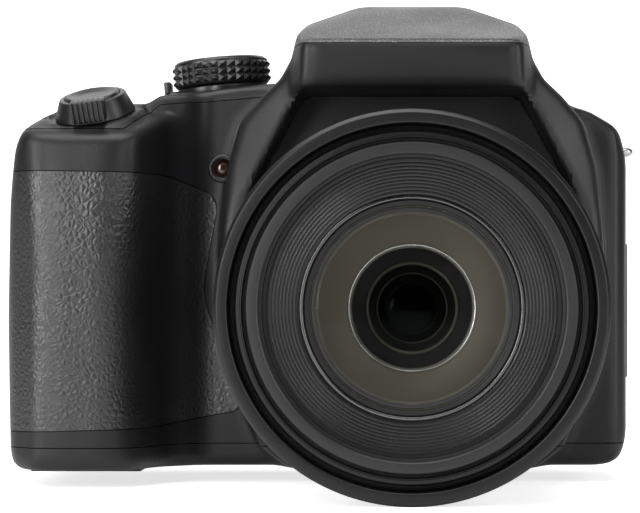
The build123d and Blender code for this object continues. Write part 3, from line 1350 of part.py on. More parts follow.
def case_screws():
    """The four screws of the base."""
    screws = []
    for x, y in screw_places():
        head_top = SCREW_RECESS + SCREW_HEAD_HEIGHT
        screw = rod_z(SCREW_HEAD, SCREW_RECESS, head_top, x, y)
        screw += rod_z(SCREW_SHANK, head_top - SMALL_GAP, head_top + SCREW_LENGTH, x, y)
        slot = SCREW_SLOT / 2
        for half_x, half_y in ((SCREW_HEAD * 0.6, slot), (slot, SCREW_HEAD * 0.6)):
            screw -= block(x - half_x, x + half_x, y - half_y, y + half_y, -OVERRUN,
                           SCREW_RECESS + SCREW_HEAD_HEIGHT / 2)
        screws.append(screw)
    return screws


def side_door():
    """The door over the sockets in the free side, with a round edge that it turns about."""
    half = SIDE_DOOR_THICKNESS / 2
    edge = -SIDE_DOOR_FRONT + half
    plate = block(FREE_SIDE - SIDE_DOOR_THICKNESS, FREE_SIDE, edge, SIDE_DOOR_BACK, SIDE_DOOR_LOW,
                  SIDE_DOOR_HIGH)
    return plate + rod_z(half, SIDE_DOOR_LOW, SIDE_DOOR_HIGH, FREE_SIDE - half, edge)


def socket_block():
    """The block with the two cable sockets behind the side door."""
    face = FREE_SIDE - WALL
    housing = block(face - SOCKET_BLOCK_DEPTH, face, -SIDE_DOOR_FRONT, SIDE_DOOR_BACK, SIDE_DOOR_LOW,
                    SIDE_DOOR_HIGH)
    middle_y = (SIDE_DOOR_BACK - SIDE_DOOR_FRONT) / 2
    quarter = (SIDE_DOOR_HIGH - SIDE_DOOR_LOW) / 4
    sizes = ((SIDE_DOOR_LOW + quarter, USB_WIDTH, USB_HEIGHT), (SIDE_DOOR_HIGH - quarter, HDMI_WIDTH,
                                                                HDMI_HEIGHT))
    for z, width, height in sizes:
        housing -= block(face - SOCKET_BLOCK_DEPTH * 0.8, face + OVERRUN, middle_y - height / 2,
                         middle_y + height / 2,
                         z - width / 2, z + width / 2)
    return housing


def strap_lugs():
    """The two wire lugs for the strap."""
    left, right = lug_walls()
    lugs = []
    for wall, way in ((left, -1), (right, 1)):
        tip = wall + way * LUG_PROUD
        lug = rod_y(LUG_WIRE, LUG_Y - LUG_SPAN / 2 - LUG_WIRE, LUG_Y + LUG_SPAN / 2 + LUG_WIRE,
                    tip - way * LUG_WIRE, LUG_HEIGHT)
        for y in (LUG_Y - LUG_SPAN / 2, LUG_Y + LUG_SPAN / 2):
            x0, x1 = sorted((wall - way * WALL * 1.5, tip - way * LUG_WIRE))
            lug += rod_x(LUG_WIRE, x0, x1, y, LUG_HEIGHT)
        lugs.append(lug)
    return lugs


def focus_lamp():
    """The focus lamp: a moulded ring and the clear lens in it."""
    front = -BODY_FRONT - WALL / 2
    back = -BODY_FRONT + WALL
    ring = tube_y(LAMP_RING, LAMP_RADIUS, front, back, -LAMP_X, LAMP_HEIGHT)
    lens = rod_y(LAMP_RADIUS - SMALL_GAP / 2, front + WALL * 0.6, back, -LAMP_X, LAMP_HEIGHT)
    return ring, lens


def pieces():
    """Every piece of the camera by its name."""
    named = covers()
    named["rear_cover"] += rear_dial_ears()
    named["base_cover"] = base_with_fittings(named["base_cover"])
    inside_lid = body_solid(RUBBER_SKIN)
    for arm in flash_arms():
        named["flash_lid"] += arm & inside_lid
    named["flash_lid"] += flash_house()
    makers = (
        lens_trim_ring, lens_housing, outer_barrel, inner_barrel, name_ring, retaining_ring,
        front_element, front_cell, zoom_group, zoom_glass, iris_unit, rear_glass, cam_tube, zoom_motor,
        zoom_gear, image_sensor, battery, main_frame, circuit_boards, card_slot, flash_capacitor,
        finder_tube, flash_pins, eyepiece_lens, eyecup, diopter_dial, flash_window, flash_button,
        mode_dial, power_lever, zoom_lever, shutter_button, rear_dial, cursor_pad, set_button,
        thumb_rest, screen_window, screen_panel, tripod_socket, battery_door, battery_door_pin,
        battery_latch, case_screws, side_door, socket_block, strap_lugs, focus_lamp,
    )
    for maker in makers:
        named[maker.__name__] = maker()
    named["rec_button"] = REC_PLACE * push_button(REC_RADIUS, DECK_BUTTON_WALL)
    named["function_button"] = FUNCTION_PLACE * push_button(FUNCTION_RADIUS, DECK_BUTTON_WALL)
    for name, (x, z) in REAR_BUTTONS.items():
        named[name] = facing_back(x, z) * push_button(REAR_BUTTON_RADIUS)
    return named


def write(name, piece):
    """Writes a piece, or a group of like pieces, as one file."""
    group = list(piece) if isinstance(piece, (list, tuple)) else list(piece.solids())
    solids = [solid for part in group for solid in part.solids()]
    export_step(Compound(children=solids) if len(solids) > 1 else solids[0], f"parts/{name}.step")


os.makedirs("parts", exist_ok=True)
for name, piece in pieces().items():
    write(name, piece)
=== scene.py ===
from math import acos, atan2, cos, pi, radians, sin, sqrt, tan

import bmesh
import bpy
import numpy as np
from bpy.props import FloatProperty, FloatVectorProperty, IntProperty, PointerProperty
from bpy.types import Operator, Panel, PropertyGroup
from mathutils import Matrix, Vector


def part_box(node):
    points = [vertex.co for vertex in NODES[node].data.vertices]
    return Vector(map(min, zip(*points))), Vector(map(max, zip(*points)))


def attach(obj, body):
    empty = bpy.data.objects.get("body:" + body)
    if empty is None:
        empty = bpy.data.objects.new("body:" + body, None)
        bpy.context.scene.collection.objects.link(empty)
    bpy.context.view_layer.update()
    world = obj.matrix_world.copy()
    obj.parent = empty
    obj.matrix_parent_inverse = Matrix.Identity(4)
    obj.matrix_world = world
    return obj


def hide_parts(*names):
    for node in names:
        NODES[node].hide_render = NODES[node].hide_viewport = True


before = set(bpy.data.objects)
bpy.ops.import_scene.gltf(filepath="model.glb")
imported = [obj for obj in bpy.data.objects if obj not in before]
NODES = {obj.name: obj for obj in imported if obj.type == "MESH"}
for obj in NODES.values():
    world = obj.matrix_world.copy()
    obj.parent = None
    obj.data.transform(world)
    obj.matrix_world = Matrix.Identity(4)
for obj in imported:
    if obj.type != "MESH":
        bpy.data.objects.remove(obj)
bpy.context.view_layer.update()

bl_info = {
    "name": "Bridge camera",
    "version": (1, 0, 0),
    "blender": (4, 5, 0),
    "location": "View3D > Sidebar > Camera",
    "description": "Dresses the packed bridge camera with its moulded covers, lens rings and controls",
    "category": "Object",
}

MM = 0.001
LENS_AXIS = 32.5
BODY_BACK = 20.0
COVER_JOINT = 6      # y of the seam between the front and the rear cover
BASE_JOINT = 5       # z of the seam above the base cover
TOP_JOINT = 67.92    # z of the seam under the top cover
LID_JOINT = 83.4     # z of the seam under the flash lid
LID_ARC = 14.7       # radius of the lid's back edge about its pins
FLASH_PIN = (-2, 82)
LAMP_X, LAMP_Z = -38.6, 60.9
LUG_HEIGHT = 65.8
FLOOR_LEVEL = -2.9   # the lens ring hangs this far below the base


# ---- sizes and colours a user would change --------------------------------

def linear(hex_colour):
    """Turns an sRGB hex colour into linear red, green and blue."""
    channels = [int(hex_colour[i:i + 2], 16) / 255 for i in (1, 3, 5)]
    return [c / 12.92 if c <= 0.04045 else ((c + 0.055) / 1.055) ** 2.4 for c in channels]


def colour(name, description, hex_colour):
    """A colour property with its default given as sRGB hex."""
    return FloatVectorProperty(name=name, description=description, subtype="COLOR", size=3,
                               min=0.0, max=1.0, default=linear(hex_colour))


def length(name, description, millimetres):
    """A length property with its default given in millimetres."""
    return FloatProperty(name=name, description=description, unit="LENGTH", min=0.0,
                         default=millimetres * MM)


class CoverSettings(PropertyGroup):
    """Sizes of the moulded covers."""
    wall: length("Wall", "Thickness of the moulded covers", 2.0)
    skin: length("Grip skin", "Thickness of the rubber on the grip", 1.0)
    edge: length("Edge softness", "How far the body's edges are blended", 2.8)
    hump_edge: length("Hump edge softness", "How far the hump's edges are blended", 2.2)
    seam: length("Seam", "Half the gap between two covers", 0.09)
    step: length("Mesh step", "Spacing of the covers' surface points", 0.8)


class LensSettings(PropertyGroup):
    """Sizes of the lens rings."""
    segments: IntProperty(name="Segments", description="Sides of each turned ring", default=192, min=24)
    groove: length("Groove pitch", "Distance between the fine grooves of the name ring", 0.62)
    thread: length("Thread pitch", "Pitch of the filter thread", 0.75)


class ControlSettings(PropertyGroup):
    """Sizes of the dials and buttons."""
    knurls: IntProperty(name="Dial knurls", description="Pyramids in each row of the mode dial", default=34,
                        min=8)
    knurl_rows: IntProperty(name="Knurl rows", description="Rows of pyramids on the mode dial", default=3,
                            min=1)
    ribs: IntProperty(name="Lever ribs", description="Ribs on the zoom lever's tab", default=7, min=2)
    rear_teeth: IntProperty(name="Rear dial teeth", description="Teeth around the rear dial", default=28,
                            min=8)


class FinishSettings(PropertyGroup):
    """Colours of the finishes."""
    shell: colour("Covers", "Moulded plastic of the covers", "#171719")
    paint: colour("Hump paint", "Speckled paint of the flash lid", "#3a3a3b")
    rubber: colour("Grip rubber", "Rubber of the grip and the thumb rest", "#18181a")
    ring: colour("Lens rings", "Satin paint of the lens rings", "#0e0e0f")
    silver: colour("Bright ring", "Turned metal ring around the glass", "#707070")
    cell: colour("Lens cell", "Anodised cone behind the front glass", "#6c665d")
    lamp: colour("Focus lamp", "Lens of the focus lamp", "#35190f")
    record: colour("Record mark", "Ring around the record button", "#b3202a")


class StageSettings(PropertyGroup):
    """Camera, floor and lights."""
    distance: length("Camera distance", "From the camera to the tripod socket", 552.0)
    focal: FloatProperty(name="Focal length", description="Focal length in millimetres", default=147.5)
    floor: colour("Floor", "Plain floor and backdrop", "#f4f4f4")
    key: FloatProperty(name="Key light",
                       description="Watts that the lights from above take their shares of", default=7.0)
    side: FloatProperty(name="Side lights",
                        description="Watts that the lights from the sides take their shares of",
                        default=3.0)


# ---- mesh helpers, all in millimetres --------------------------------------

def link(obj):
    """Puts an object into the scene."""
    bpy.context.scene.collection.objects.link(obj)
    return obj


def mesh_object(name, verts, faces, place=None):
    """A mesh from points in millimetres, with doubles merged and faces outwards."""
    mesh = bpy.data.meshes.new(name)
    points = np.asarray(verts, float).reshape(-1, 3)
    if place is not None:
        turn = np.array(place.to_3x3())
        points = points @ turn.T + np.array(place.translation)
    mesh.from_pydata((points * MM).tolist(), [], faces)
    work = bmesh.new()
    work.from_mesh(mesh)
    bmesh.ops.remove_doubles(work, verts=work.verts, dist=1e-7)
    bmesh.ops.recalc_face_normals(work, faces=work.faces)
    work.to_mesh(mesh)
    work.free()
    return link(bpy.data.objects.new(name, mesh))


def smooth(obj, angle=32):
    """Smooth shading with edges kept sharp above an angle."""
    mesh = obj.data
    mesh.polygons.foreach_set("use_smooth", [True] * len(mesh.polygons))
    mesh.set_sharp_from_angle(angle=radians(angle))
    mesh.update()
    return obj


def softened(points, radius, steps=3, closed=True):
    """Rounds the corners of an outline of (across, up) points."""
    result = []
    count = len(points)
    for i, (px, py) in enumerate(points):
        if not closed and i in (0, count - 1):
            result.append((px, py))
            continue
        ax, ay = points[i - 1]
        bx, by = points[(i + 1) % count]
        la, lb = sqrt((ax - px) ** 2 + (ay - py) ** 2), sqrt((bx - px) ** 2 + (by - py) ** 2)
        reach = min(radius, la * 0.45, lb * 0.45)
        if reach < 1e-4:
            result.append((px, py))
            continue
        sx, sy = px + (ax - px) * reach / la, py + (ay - py) * reach / la
        ex, ey = px + (bx - px) * reach / lb, py + (by - py) * reach / lb
        for k in range(steps + 1):
            t = k / steps
            result.append(((1 - t) ** 2 * sx + 2 * t * (1 - t) * px + t * t * ex,
                           (1 - t) ** 2 * sy + 2 * t * (1 - t) * py + t * t * ey))
    return result


LENS_PLACE = Matrix(((1, 0, 0, 0), (0, 0, 1, 0), (0, -1, 0, LENS_AXIS), (0, 0, 0, 1)))


def turned(name, profile, place=LENS_PLACE, soft=0.12, segments=None, closed=True):
    """A ring or knob turned from a (radius, height) profile; open profiles end on the axis."""
    segments = segments or bpy.context.scene.lens_settings.segments
    outline = softened(profile, soft, closed=closed) if soft else list(profile)
    verts, faces = [], []
    count = len(outline)
    for s in range(segments):
        angle = 2 * pi * s / segments
        verts.extend((r * cos(angle), r * sin(angle), h) for r, h in outline)
    spans = count if closed else count - 1
    for s in range(segments):
        t = (s + 1) % segments
        for i in range(spans):
            j = (i + 1) % count
            quad = [s * count + i, s * count + j, t * count + j, t * count + i]
            if outline[i][0] < 1e-9 and outline[j][0] < 1e-9:
                continue
            if outline[i][0] < 1e-9:
                quad = quad[:3]
            elif outline[j][0] < 1e-9:
                quad = [quad[0], quad[1], quad[3]]
            faces.append(quad)
    return smooth(mesh_object(name, verts, faces, place))


def in_metres(place):
    """A frame given in millimetres, as a transform in metres."""
    return Matrix.Translation(place.translation * MM) @ place.to_3x3().to_4x4()


def prism(name, outline, low, high, axis="y"):
    """A straight prism; the outline is in the two other axes, in X, Y, Z order."""
    count = len(outline)
    verts = []
    for end in (low, high):
        for u, v in outline:
            verts.append({"x": (end, u, v), "y": (u, end, v), "z": (u, v, end)}[axis])
    faces = [list(range(count)), list(range(count, 2 * count))]
    faces += [[i, (i + 1) % count, count + (i + 1) % count, count + i] for i in range(count)]
    return mesh_object(name, verts, faces)


def block(name, low, high, bevel=0.0, place=None):
    """A box between two corners, with rounded edges."""
    (x0, y0, z0), (x1, y1, z1) = low, high
    obj = prism(name, [(x0, y0), (x1, y0), (x1, y1), (x0, y1)], z0, z1, "z")
    if bevel:
        work = bmesh.new()
        work.from_mesh(obj.data)
        bmesh.ops.bevel(work, geom=work.edges[:], offset=bevel * MM, segments=3, profile=0.5, affect="EDGES")
        work.to_mesh(obj.data)
        work.free()
    if place is not None:
        obj.data.transform(in_metres(place))
    return smooth(obj, 40)


def rounded_plate(name, corners, low, high, bevel):
    """A plate with a rounded outline and softened rims."""
    obj = prism(name, outline_points(corners), low, high)
    work = bmesh.new()
    work.from_mesh(obj.data)
    caps = [f for f in work.faces if len(f.verts) > 4]
    rims = {e for f in caps for e in f.edges}
    bmesh.ops.bevel(work, geom=list(rims), offset=bevel * MM, segments=3, profile=0.5, affect="EDGES",
                    clamp_overlap=True)
    work.to_mesh(obj.data)
    work.free()
    return smooth(obj, 40)


def rod(name, radius, low, high, centre=(0, 0), axis="z", sides=48):
    """A plain round bar, used as a cutter or a pin."""
    ring = [(centre[0] + radius * cos(2 * pi * k / sides), centre[1] + radius * sin(2 * pi * k / sides))
            for k in range(sides)]
    return prism(name, ring, low, high, axis)


def evaluated(obj):
    """Replaces an object's mesh with the result of its modifiers."""
    graph = bpy.context.evaluated_depsgraph_get()
    mesh = bpy.data.meshes.new_from_object(obj.evaluated_get(graph))
    obj.modifiers.clear()
    old, obj.data = obj.data, mesh
    mesh.name = obj.name
    if old.users == 0:
        bpy.data.meshes.remove(old)
    return obj


def combine(target, tool, operation="DIFFERENCE", keep=False):
    """Cuts, joins or intersects two closed meshes."""
    before = len(target.data.vertices)
    for solver in ("MANIFOLD", "EXACT"):
        modifier = target.modifiers.new("combine", "BOOLEAN")
        modifier.operation = operation
        modifier.solver = solver
        modifier.object = tool
        graph = bpy.context.evaluated_depsgraph_get()
        mesh = bpy.data.meshes.new_from_object(target.evaluated_get(graph))
        target.modifiers.clear()
        if len(mesh.vertices) not in (0, before):
            break
    if len(mesh.vertices) == 0:
        raise RuntimeError(f"{target.name} vanished when combined with {tool.name}")
    target.data = mesh
    if not keep:
        discard(tool)
    return target


def discard(obj):
    """Removes a helper object."""
    bpy.data.objects.remove(obj)


def duplicate(obj, name):
    """A copy of an object with its own mesh."""
    return link(bpy.data.objects.new(name, obj.data.copy()))


def joined(name, parts):
    """One object from several meshes."""
    work = bmesh.new()
    for part in parts:
        work.from_mesh(part.data)
    mesh = bpy.data.meshes.new(name)
    work.to_mesh(mesh)
    work.free()
    for part in parts:
        discard(part)
    return smooth(link(bpy.data.objects.new(name, mesh)), 34)


def repeat_tree():
    """Geometry nodes that repeat a small shape around a ring or along a row."""
    tree = bpy.data.node_groups.get("repeat_around")
    if tree:
        return tree
    tree = bpy.data.node_groups.new("repeat_around", "GeometryNodeTree")
    face = tree.interface
    face.new_socket("Geometry", in_out="INPUT", socket_type="NodeSocketGeometry")
    for name, kind in (("Count", "NodeSocketInt"), ("Rows", "NodeSocketInt"), ("Radius", "NodeSocketFloat"),
                       ("Pitch", "NodeSocketFloat"), ("Row pitch", "NodeSocketFloat"),
                       ("Material", "NodeSocketMaterial")):
        face.new_socket(name, in_out="INPUT", socket_type=kind)
    face.new_socket("Geometry", in_out="OUTPUT", socket_type="NodeSocketGeometry")
    given = node(tree, "NodeGroupInput").outputs
    count, radius = given["Count"], given["Radius"]
    line = node(tree, "GeometryNodeMeshLine", {"Count": calculate(tree, "MULTIPLY", count, given["Rows"])})
    index = node(tree, "GeometryNodeInputIndex").outputs[0]
    row = calculate(tree, "FLOOR", calculate(tree, "DIVIDE", index, count))
    place = calculate(tree, "MODULO", index, count)
    angle = calculate(tree, "MULTIPLY", calculate(tree, "DIVIDE", place, count), 2 * pi)
    across = calculate(tree, "MULTIPLY", calculate(tree, "COSINE", angle), radius)
    along = calculate(tree, "MULTIPLY", calculate(tree, "SINE", angle), radius)
    run = calculate(tree, "MULTIPLY", place, given["Pitch"])
    height = calculate(tree, "MULTIPLY", row, given["Row pitch"])
    spot = node(tree, "ShaderNodeCombineXYZ", {0: calculate(tree, "ADD", across, run), 1: along, 2: height})
    moved = node(tree, "GeometryNodeSetPosition", {"Geometry": line.outputs[0], "Position": spot.outputs[0]})
    spin = calculate(tree, "MULTIPLY", angle, calculate(tree, "GREATER_THAN", radius, 1e-6))
    rotation = node(tree, "ShaderNodeCombineXYZ", {2: spin})
    placed = node(tree, "GeometryNodeInstanceOnPoints", {
        "Points": moved.outputs[0], "Instance": given["Geometry"], "Rotation": rotation.outputs[0]})
    real = node(tree, "GeometryNodeRealizeInstances", {0: placed.outputs[0]})
    painted = node(tree, "GeometryNodeSetMaterial", {"Geometry": real.outputs[0],
                                                     "Material": given["Material"]})
    node(tree, "NodeGroupOutput", {0: painted.outputs[0]})
    return tree


def repeated(shape, material, place, count, rows=1, radius=0.0, pitch=0.0, row_pitch=0.0):
    """A plain mesh of a small shape repeated by the geometry nodes, then put in place."""
    tree = repeat_tree()
    modifier = shape.modifiers.new("repeat", "NODES")
    modifier.node_group = tree
    values = {"Count": count, "Rows": rows, "Radius": radius * MM, "Pitch": pitch * MM,
              "Row pitch": row_pitch * MM, "Material": material}
    for item in tree.interface.items_tree:
        if item.in_out == "INPUT" and item.name in values:
            modifier[item.identifier] = values[item.name]
    evaluated(shape)
    shape.data.transform(in_metres(place))
    return smooth(shape, 30)


# ---- distance fields of the moulded body, in millimetres --------------------

def outline_points(corners, steps=7):
    """Points of an outline with true arcs at its (across, up, radius) corners."""
    result = []
    count = len(corners)
    for i, (px, py, radius) in enumerate(corners):
        ax, ay = corners[i - 1][:2]
        bx, by = corners[(i + 1) % count][:2]
        la, lb = sqrt((ax - px) ** 2 + (ay - py) ** 2), sqrt((bx - px) ** 2 + (by - py) ** 2)
        ua, ub = ((ax - px) / la, (ay - py) / la), ((bx - px) / lb, (by - py) / lb)
        turn = acos(max(-1.0, min(1.0, ua[0] * ub[0] + ua[1] * ub[1])))
        if radius <= 0 or turn > pi - 1e-3:
            result.append((px, py))
            continue
        reach = min(radius / tan(turn / 2), la * 0.48, lb * 0.48)
        radius = reach * tan(turn / 2)
        mx, my = ua[0] + ub[0], ua[1] + ub[1]
        size = sqrt(mx * mx + my * my)
        far = radius / sin(turn / 2)
        cx, cy = px + mx / size * far, py + my / size * far
        start = atan2(py + ua[1] * reach - cy, px + ua[0] * reach - cx)
        end = atan2(py + ub[1] * reach - cy, px + ub[0] * reach - cx)
        sweep = (end - start + pi) % (2 * pi) - pi
        result.extend((cx + radius * cos(start + sweep * k / steps),
                       cy + radius * sin(start + sweep * k / steps)) for k in range(steps + 1))
    return result


def outline_field(points, u, v):
    """Signed distance to a closed outline, negative inside."""
    best, inside = None, False
    for (ax, ay), (bx, by) in zip(points, points[1:] + points[:1]):
        ex, ey = bx - ax, by - ay
        wx, wy = u - ax, v - ay
        t = np.clip((wx * ex + wy * ey) / max(ex * ex + ey * ey, 1e-12), 0, 1)
        gap = (wx - ex * t) ** 2 + (wy - ey * t) ** 2
        best = gap if best is None else np.minimum(best, gap)
        if abs(ey) > 1e-9:
            inside = inside ^ (((ay <= v) != (by <= v)) & (u < ex * (v - ay) / ey + ax))
    return np.where(inside, -1.0, 1.0) * np.sqrt(best)


def blend_max(a, b, reach):
    """The larger field, with the corner between the two blended."""
    return np.maximum(a, b) + np.maximum(reach - np.abs(a - b), 0) ** 2 / (4 * reach)


def blend_min(a, b, reach):
    """The smaller field, with a fillet where the two meet."""
    return -blend_max(-a, -b, reach)


def local(place, x, y, z):
    """Coordinates in a tilted control's own frame."""
    turn = np.array(place.to_3x3()).T
    ox, oy, oz = place.translation
    dx, dy, dz = x - ox, y - oy, z - oz
    return tuple(turn[i][0] * dx + turn[i][1] * dy + turn[i][2] * dz for i in range(3))


def tilted(origin, normal, towards):
    """A frame whose Z is the normal and whose X leans towards a direction."""
    z_axis = Vector(normal).normalized()
    x_axis = (Vector(towards) - Vector(towards).dot(z_axis) * z_axis).normalized()
    y_axis = z_axis.cross(x_axis)
    turn = Matrix((x_axis, y_axis, z_axis)).transposed()
    return Matrix.Translation(Vector(origin)) @ turn.to_4x4()


DIAL_PLACE = tilted((-39.5, -2.0, 76.96), (-0.08716, 0, 0.99619), (1, 0, 0))
SHUTTER_PLACE = tilted((-63.6, -25.0, 71.367), (-0.130526, -0.322783, 0.93743),
                       (0.991445, -0.042495, 0.123415))
REC_PLACE = Matrix.Translation((-56.0, -5.0, 73.2656))
FUNCTION_PLACE = Matrix.Translation((-68.4, -2.0, 73.2656))

BODY_FRONT = [(-80.59, 0, 5.6), (44.7, 0, 8), (44.7, 63.04, 8), (42.02, 68.95, 6), (36.21, 72.34, 6),
              (29.5, 74.46, 4), (24.59, 78.8, 4), (-27.17, 78.8, 3), (-50.91, 75.25, 2.4),
              (-56.68, 71.7, 3.2), (-74.82, 71.39, 6.4), (-78.92, 64.22, 7), (-81.09, 53.58, 10),
              (-83.6, 29.94, 16)]
BODY_TOP = [(44.7, 20, 6.8), (-77.75, 20, 7.2), (-83.6, 0, 16), (-81.59, -20, 16), (-79.42, -32, 9),
            (-71.9, -40, 9), (-56.01, -39.4, 11), (-48.82, -23.2, 9), (-42.47, -18, 6), (41.12, -18, 1.6),
            (43.36, -16, 3), (44.7, -8.4, 5)]
BODY_SIDE = [(20, 0, 2.4), (20, 79.03, 4), (-22, 79.03, 4), (-37.2, 67.4, 7), (-40, 41, 24), (-38.8, 0, 3.2)]
HUMP_FRONT = [(10.4, 94.3, 8), (20.8, 88.64, 4), (22.23, 86, 3), (23.4, 81.1, 3), (25.61, 77.33, 4),
              (29.38, 74.03, 5), (33.8, 69.31, 6), (36.4, 60.35, 8), (38.48, 43.94, 8), (36.92, 21.97, 8),
              (30.42, 5.19, 6), (23.92, 0, 4)]
HUMP_TOP = [(20.5, -50, 3.5), (23.4, -41, 3), (33.3, -35, 4), (38.6, -32, 3), (38.6, -15, 4)]
HUMP_SIDE = [(-48.2, 74.6, 1.6), (-50, 83.4, 2.2), (-17, 94.3, 9), (-8, 94.3, 6), (20, 90.5, 3),
             (20, 32.5, 1), (-16, 0, 1), (-29, 0, 3), (-33, 32.5, 12), (-35, 52.7, 8)]
RECESS = [(21.3, 74.8, 2.5), (30.6, 58, 3), (33.8, 47, 3), (33.8, 32.5, 1)]
RUBBER = [(-87, 59.65, 2), (-49.24, 59.1, 12), (-39.21, 55.16, 4), (-42.64, 35.46, 16), (-34.36, 11.82, 2),
          (-50.91, 8.83, 10), (-87, 7.9, 2)]


def both_sides(half):
    """A closed outline from its right half, listed top to bottom."""
    return half + [(-x, y, r) for x, y, r in reversed(half)]


OUTLINES = {
    "front": outline_points(BODY_FRONT), "top": outline_points(BODY_TOP), "side": outline_points(BODY_SIDE),
    "hump_front": outline_points(both_sides(HUMP_FRONT)),
    "hump_top": outline_points(both_sides(HUMP_TOP + [(38.6, 20, 2)])),
    "hump_side": outline_points(HUMP_SIDE), "recess": outline_points(both_sides(RECESS)),
}

# The shutter platform slopes down towards the front; the room around the lens ends at a flat back.
PLATFORM_HEIGHT, PLATFORM_START, PLATFORM_RIGHT, PLATFORM_TILT = 72.0, -22.0, -38.6, 19
RECESS_RADIUS, RECESS_BACK, RECESS_EDGE, HUMP_FILLET = 33.75, -29.0, 2.2, 2.6


def body_field(x, y, z, edge, hump_edge):
    """Signed distance of the whole body, hump and collar included."""
    front = outline_field(OUTLINES["front"], x, z)
    top = outline_field(OUTLINES["top"], x, y)
    side = outline_field(OUTLINES["side"], y, z)
    core = blend_max(blend_max(front, top, edge), side, edge) - edge * 0.12
    tilt = radians(PLATFORM_TILT)
    slope = (z - PLATFORM_HEIGHT - (y - PLATFORM_START) * tan(tilt)) * cos(tilt)
    wedge = np.maximum(np.maximum(-slope, y - PLATFORM_START), x - PLATFORM_RIGHT)
    core = blend_max(core, -wedge, 2.0)
    hump = blend_max(outline_field(OUTLINES["hump_front"], x, z), outline_field(OUTLINES["hump_top"], x, y),
                     hump_edge)
    hump = blend_max(hump, outline_field(OUTLINES["hump_side"], y, z), hump_edge) - hump_edge * 0.12
    whole = blend_min(core, hump, HUMP_FILLET)
    ring = np.sqrt(x * x + (z - LENS_AXIS) ** 2) - RECESS_RADIUS
    room = np.maximum(np.minimum(outline_field(OUTLINES["recess"], x, z), ring), y - RECESS_BACK)
    whole = blend_max(whole, -room, RECESS_EDGE)
    for place, radius, depth, top_at, reach in ((SHUTTER_PLACE, 9.4, 6.0, 0.0, 2.4),
                                                (REC_PLACE, 3.7, 3.0, 0.0, 1.3),
                                                (FUNCTION_PLACE, 3.9, 3.0, 0.0, 1.3),
                                                (DIAL_PLACE, 11.5, 3.0, 0.1, 1.0)):
        u, v, w = local(place, x, y, z)
        away = np.sqrt(u * u + v * v) - radius
        whole = blend_min(whole, np.maximum(np.maximum(away, w - top_at), -w - depth), reach)
    for place, radius, low, high in ((DIAL_PLACE, 10.75, 0.1, 7.5), (SHUTTER_PLACE, 9.4, 0.0, 4.0)):
        u, v, w = local(place, x, y, z)
        away = np.sqrt(u * u + v * v) - radius
        whole = blend_max(whole, -np.maximum(np.maximum(away, low - w), w - high), 0.4)
    return whole


def field_mesh(name, values, low, step, level):
    """A closed quad mesh where a sampled field crosses a level."""
    grid = values - level
    inside = grid < 0
    shape = np.array(grid.shape)
    cells = tuple(shape - 1)
    corners = [(i, j, k) for i in (0, 1) for j in (0, 1) for k in (0, 1)]

    def view(array, i, j, k):
        return array[i:i + cells[0], j:j + cells[1], k:k + cells[2]]

    filled = sum(view(inside, *c).astype(np.int8) for c in corners)
    active = (filled > 0) & (filled < 8)
    index = np.full(cells, -1, np.int64)
    spots = np.argwhere(active)
    index[active] = np.arange(len(spots))
    total = np.zeros((len(spots), 3))
    hits = np.zeros(len(spots))
    a, b, c = spots.T
    for i, j, k in corners:
        for axis, other in enumerate(((i + 1, j, k), (i, j + 1, k), (i, j, k + 1))):
            if other[axis] > 1:
                continue
            first = grid[a + i, b + j, c + k]
            second = grid[a + other[0], b + other[1], c + other[2]]
            crosses = (first < 0) != (second < 0)
            t = np.where(crosses, first / np.where(crosses, first - second, 1.0), 0.0)
            point = np.stack([np.full(len(spots), float(i)), np.full(len(spots), float(j)),
                              np.full(len(spots), float(k))], 1)
            point[:, axis] += t
            total += point * crosses[:, None]
            hits += crosses
    place = spots + total / hits[:, None]
    slopes = np.gradient(grid)

    def sample(array, p):
        base = np.clip(np.floor(p).astype(int), 0, shape - 2)
        f = p - base
        value = 0.0
        for i, j, k in corners:
            weight = ((f[:, 0] if i else 1 - f[:, 0]) * (f[:, 1] if j else 1 - f[:, 1])
                      * (f[:, 2] if k else 1 - f[:, 2]))
            value = value + weight * array[base[:, 0] + i, base[:, 1] + j, base[:, 2] + k]
        return value

    for _ in range(2):
        pull = np.stack([sample(s, place) for s in slopes], 1)
        size = np.maximum((pull ** 2).sum(1), 1e-6)
        place = place - np.clip(sample(grid, place) / size, -0.5, 0.5)[:, None] * pull
    verts = np.array(low) + place * step
    quads = []
    for axis in range(3):
        u, v = [(1, 2), (2, 0), (0, 1)][axis]
        lower = [slice(1, n - 1) for n in grid.shape]
        lower[axis] = slice(0, grid.shape[axis] - 1)
        upper = list(lower)
        upper[axis] = slice(1, grid.shape[axis])
        here, there = inside[tuple(lower)], inside[tuple(upper)]
        edges = np.argwhere(here != there)
        flip = here[tuple(edges.T)]
        base = edges + 1
        base[:, axis] -= 1
        ring = []
        for du, dv in ((0, 0), (1, 0), (1, 1), (0, 1)):
            cell = base.copy()
            cell[:, u] -= du
            cell[:, v] -= dv
            ring.append(index[tuple(cell.T)])
        quad = np.stack(ring, 1)
        quad[~flip] = quad[~flip][:, ::-1]
        quads.append(quad)
    faces = np.concatenate(quads)
    mesh = bpy.data.meshes.new(name)
    mesh.vertices.add(len(verts))
    mesh.vertices.foreach_set("co", (verts * MM).astype(np.float32).ravel())
    mesh.loops.add(faces.size)
    mesh.loops.foreach_set("vertex_index", faces.astype(np.int32).ravel())
    mesh.polygons.add(len(faces))
    mesh.polygons.foreach_set("loop_start", np.arange(0, faces.size, 4, dtype=np.int32))
    mesh.update(calc_edges=True)
    mesh.validate()
    return link(bpy.data.objects.new(name, mesh))


# ---- materials --------------------------------------------------------------

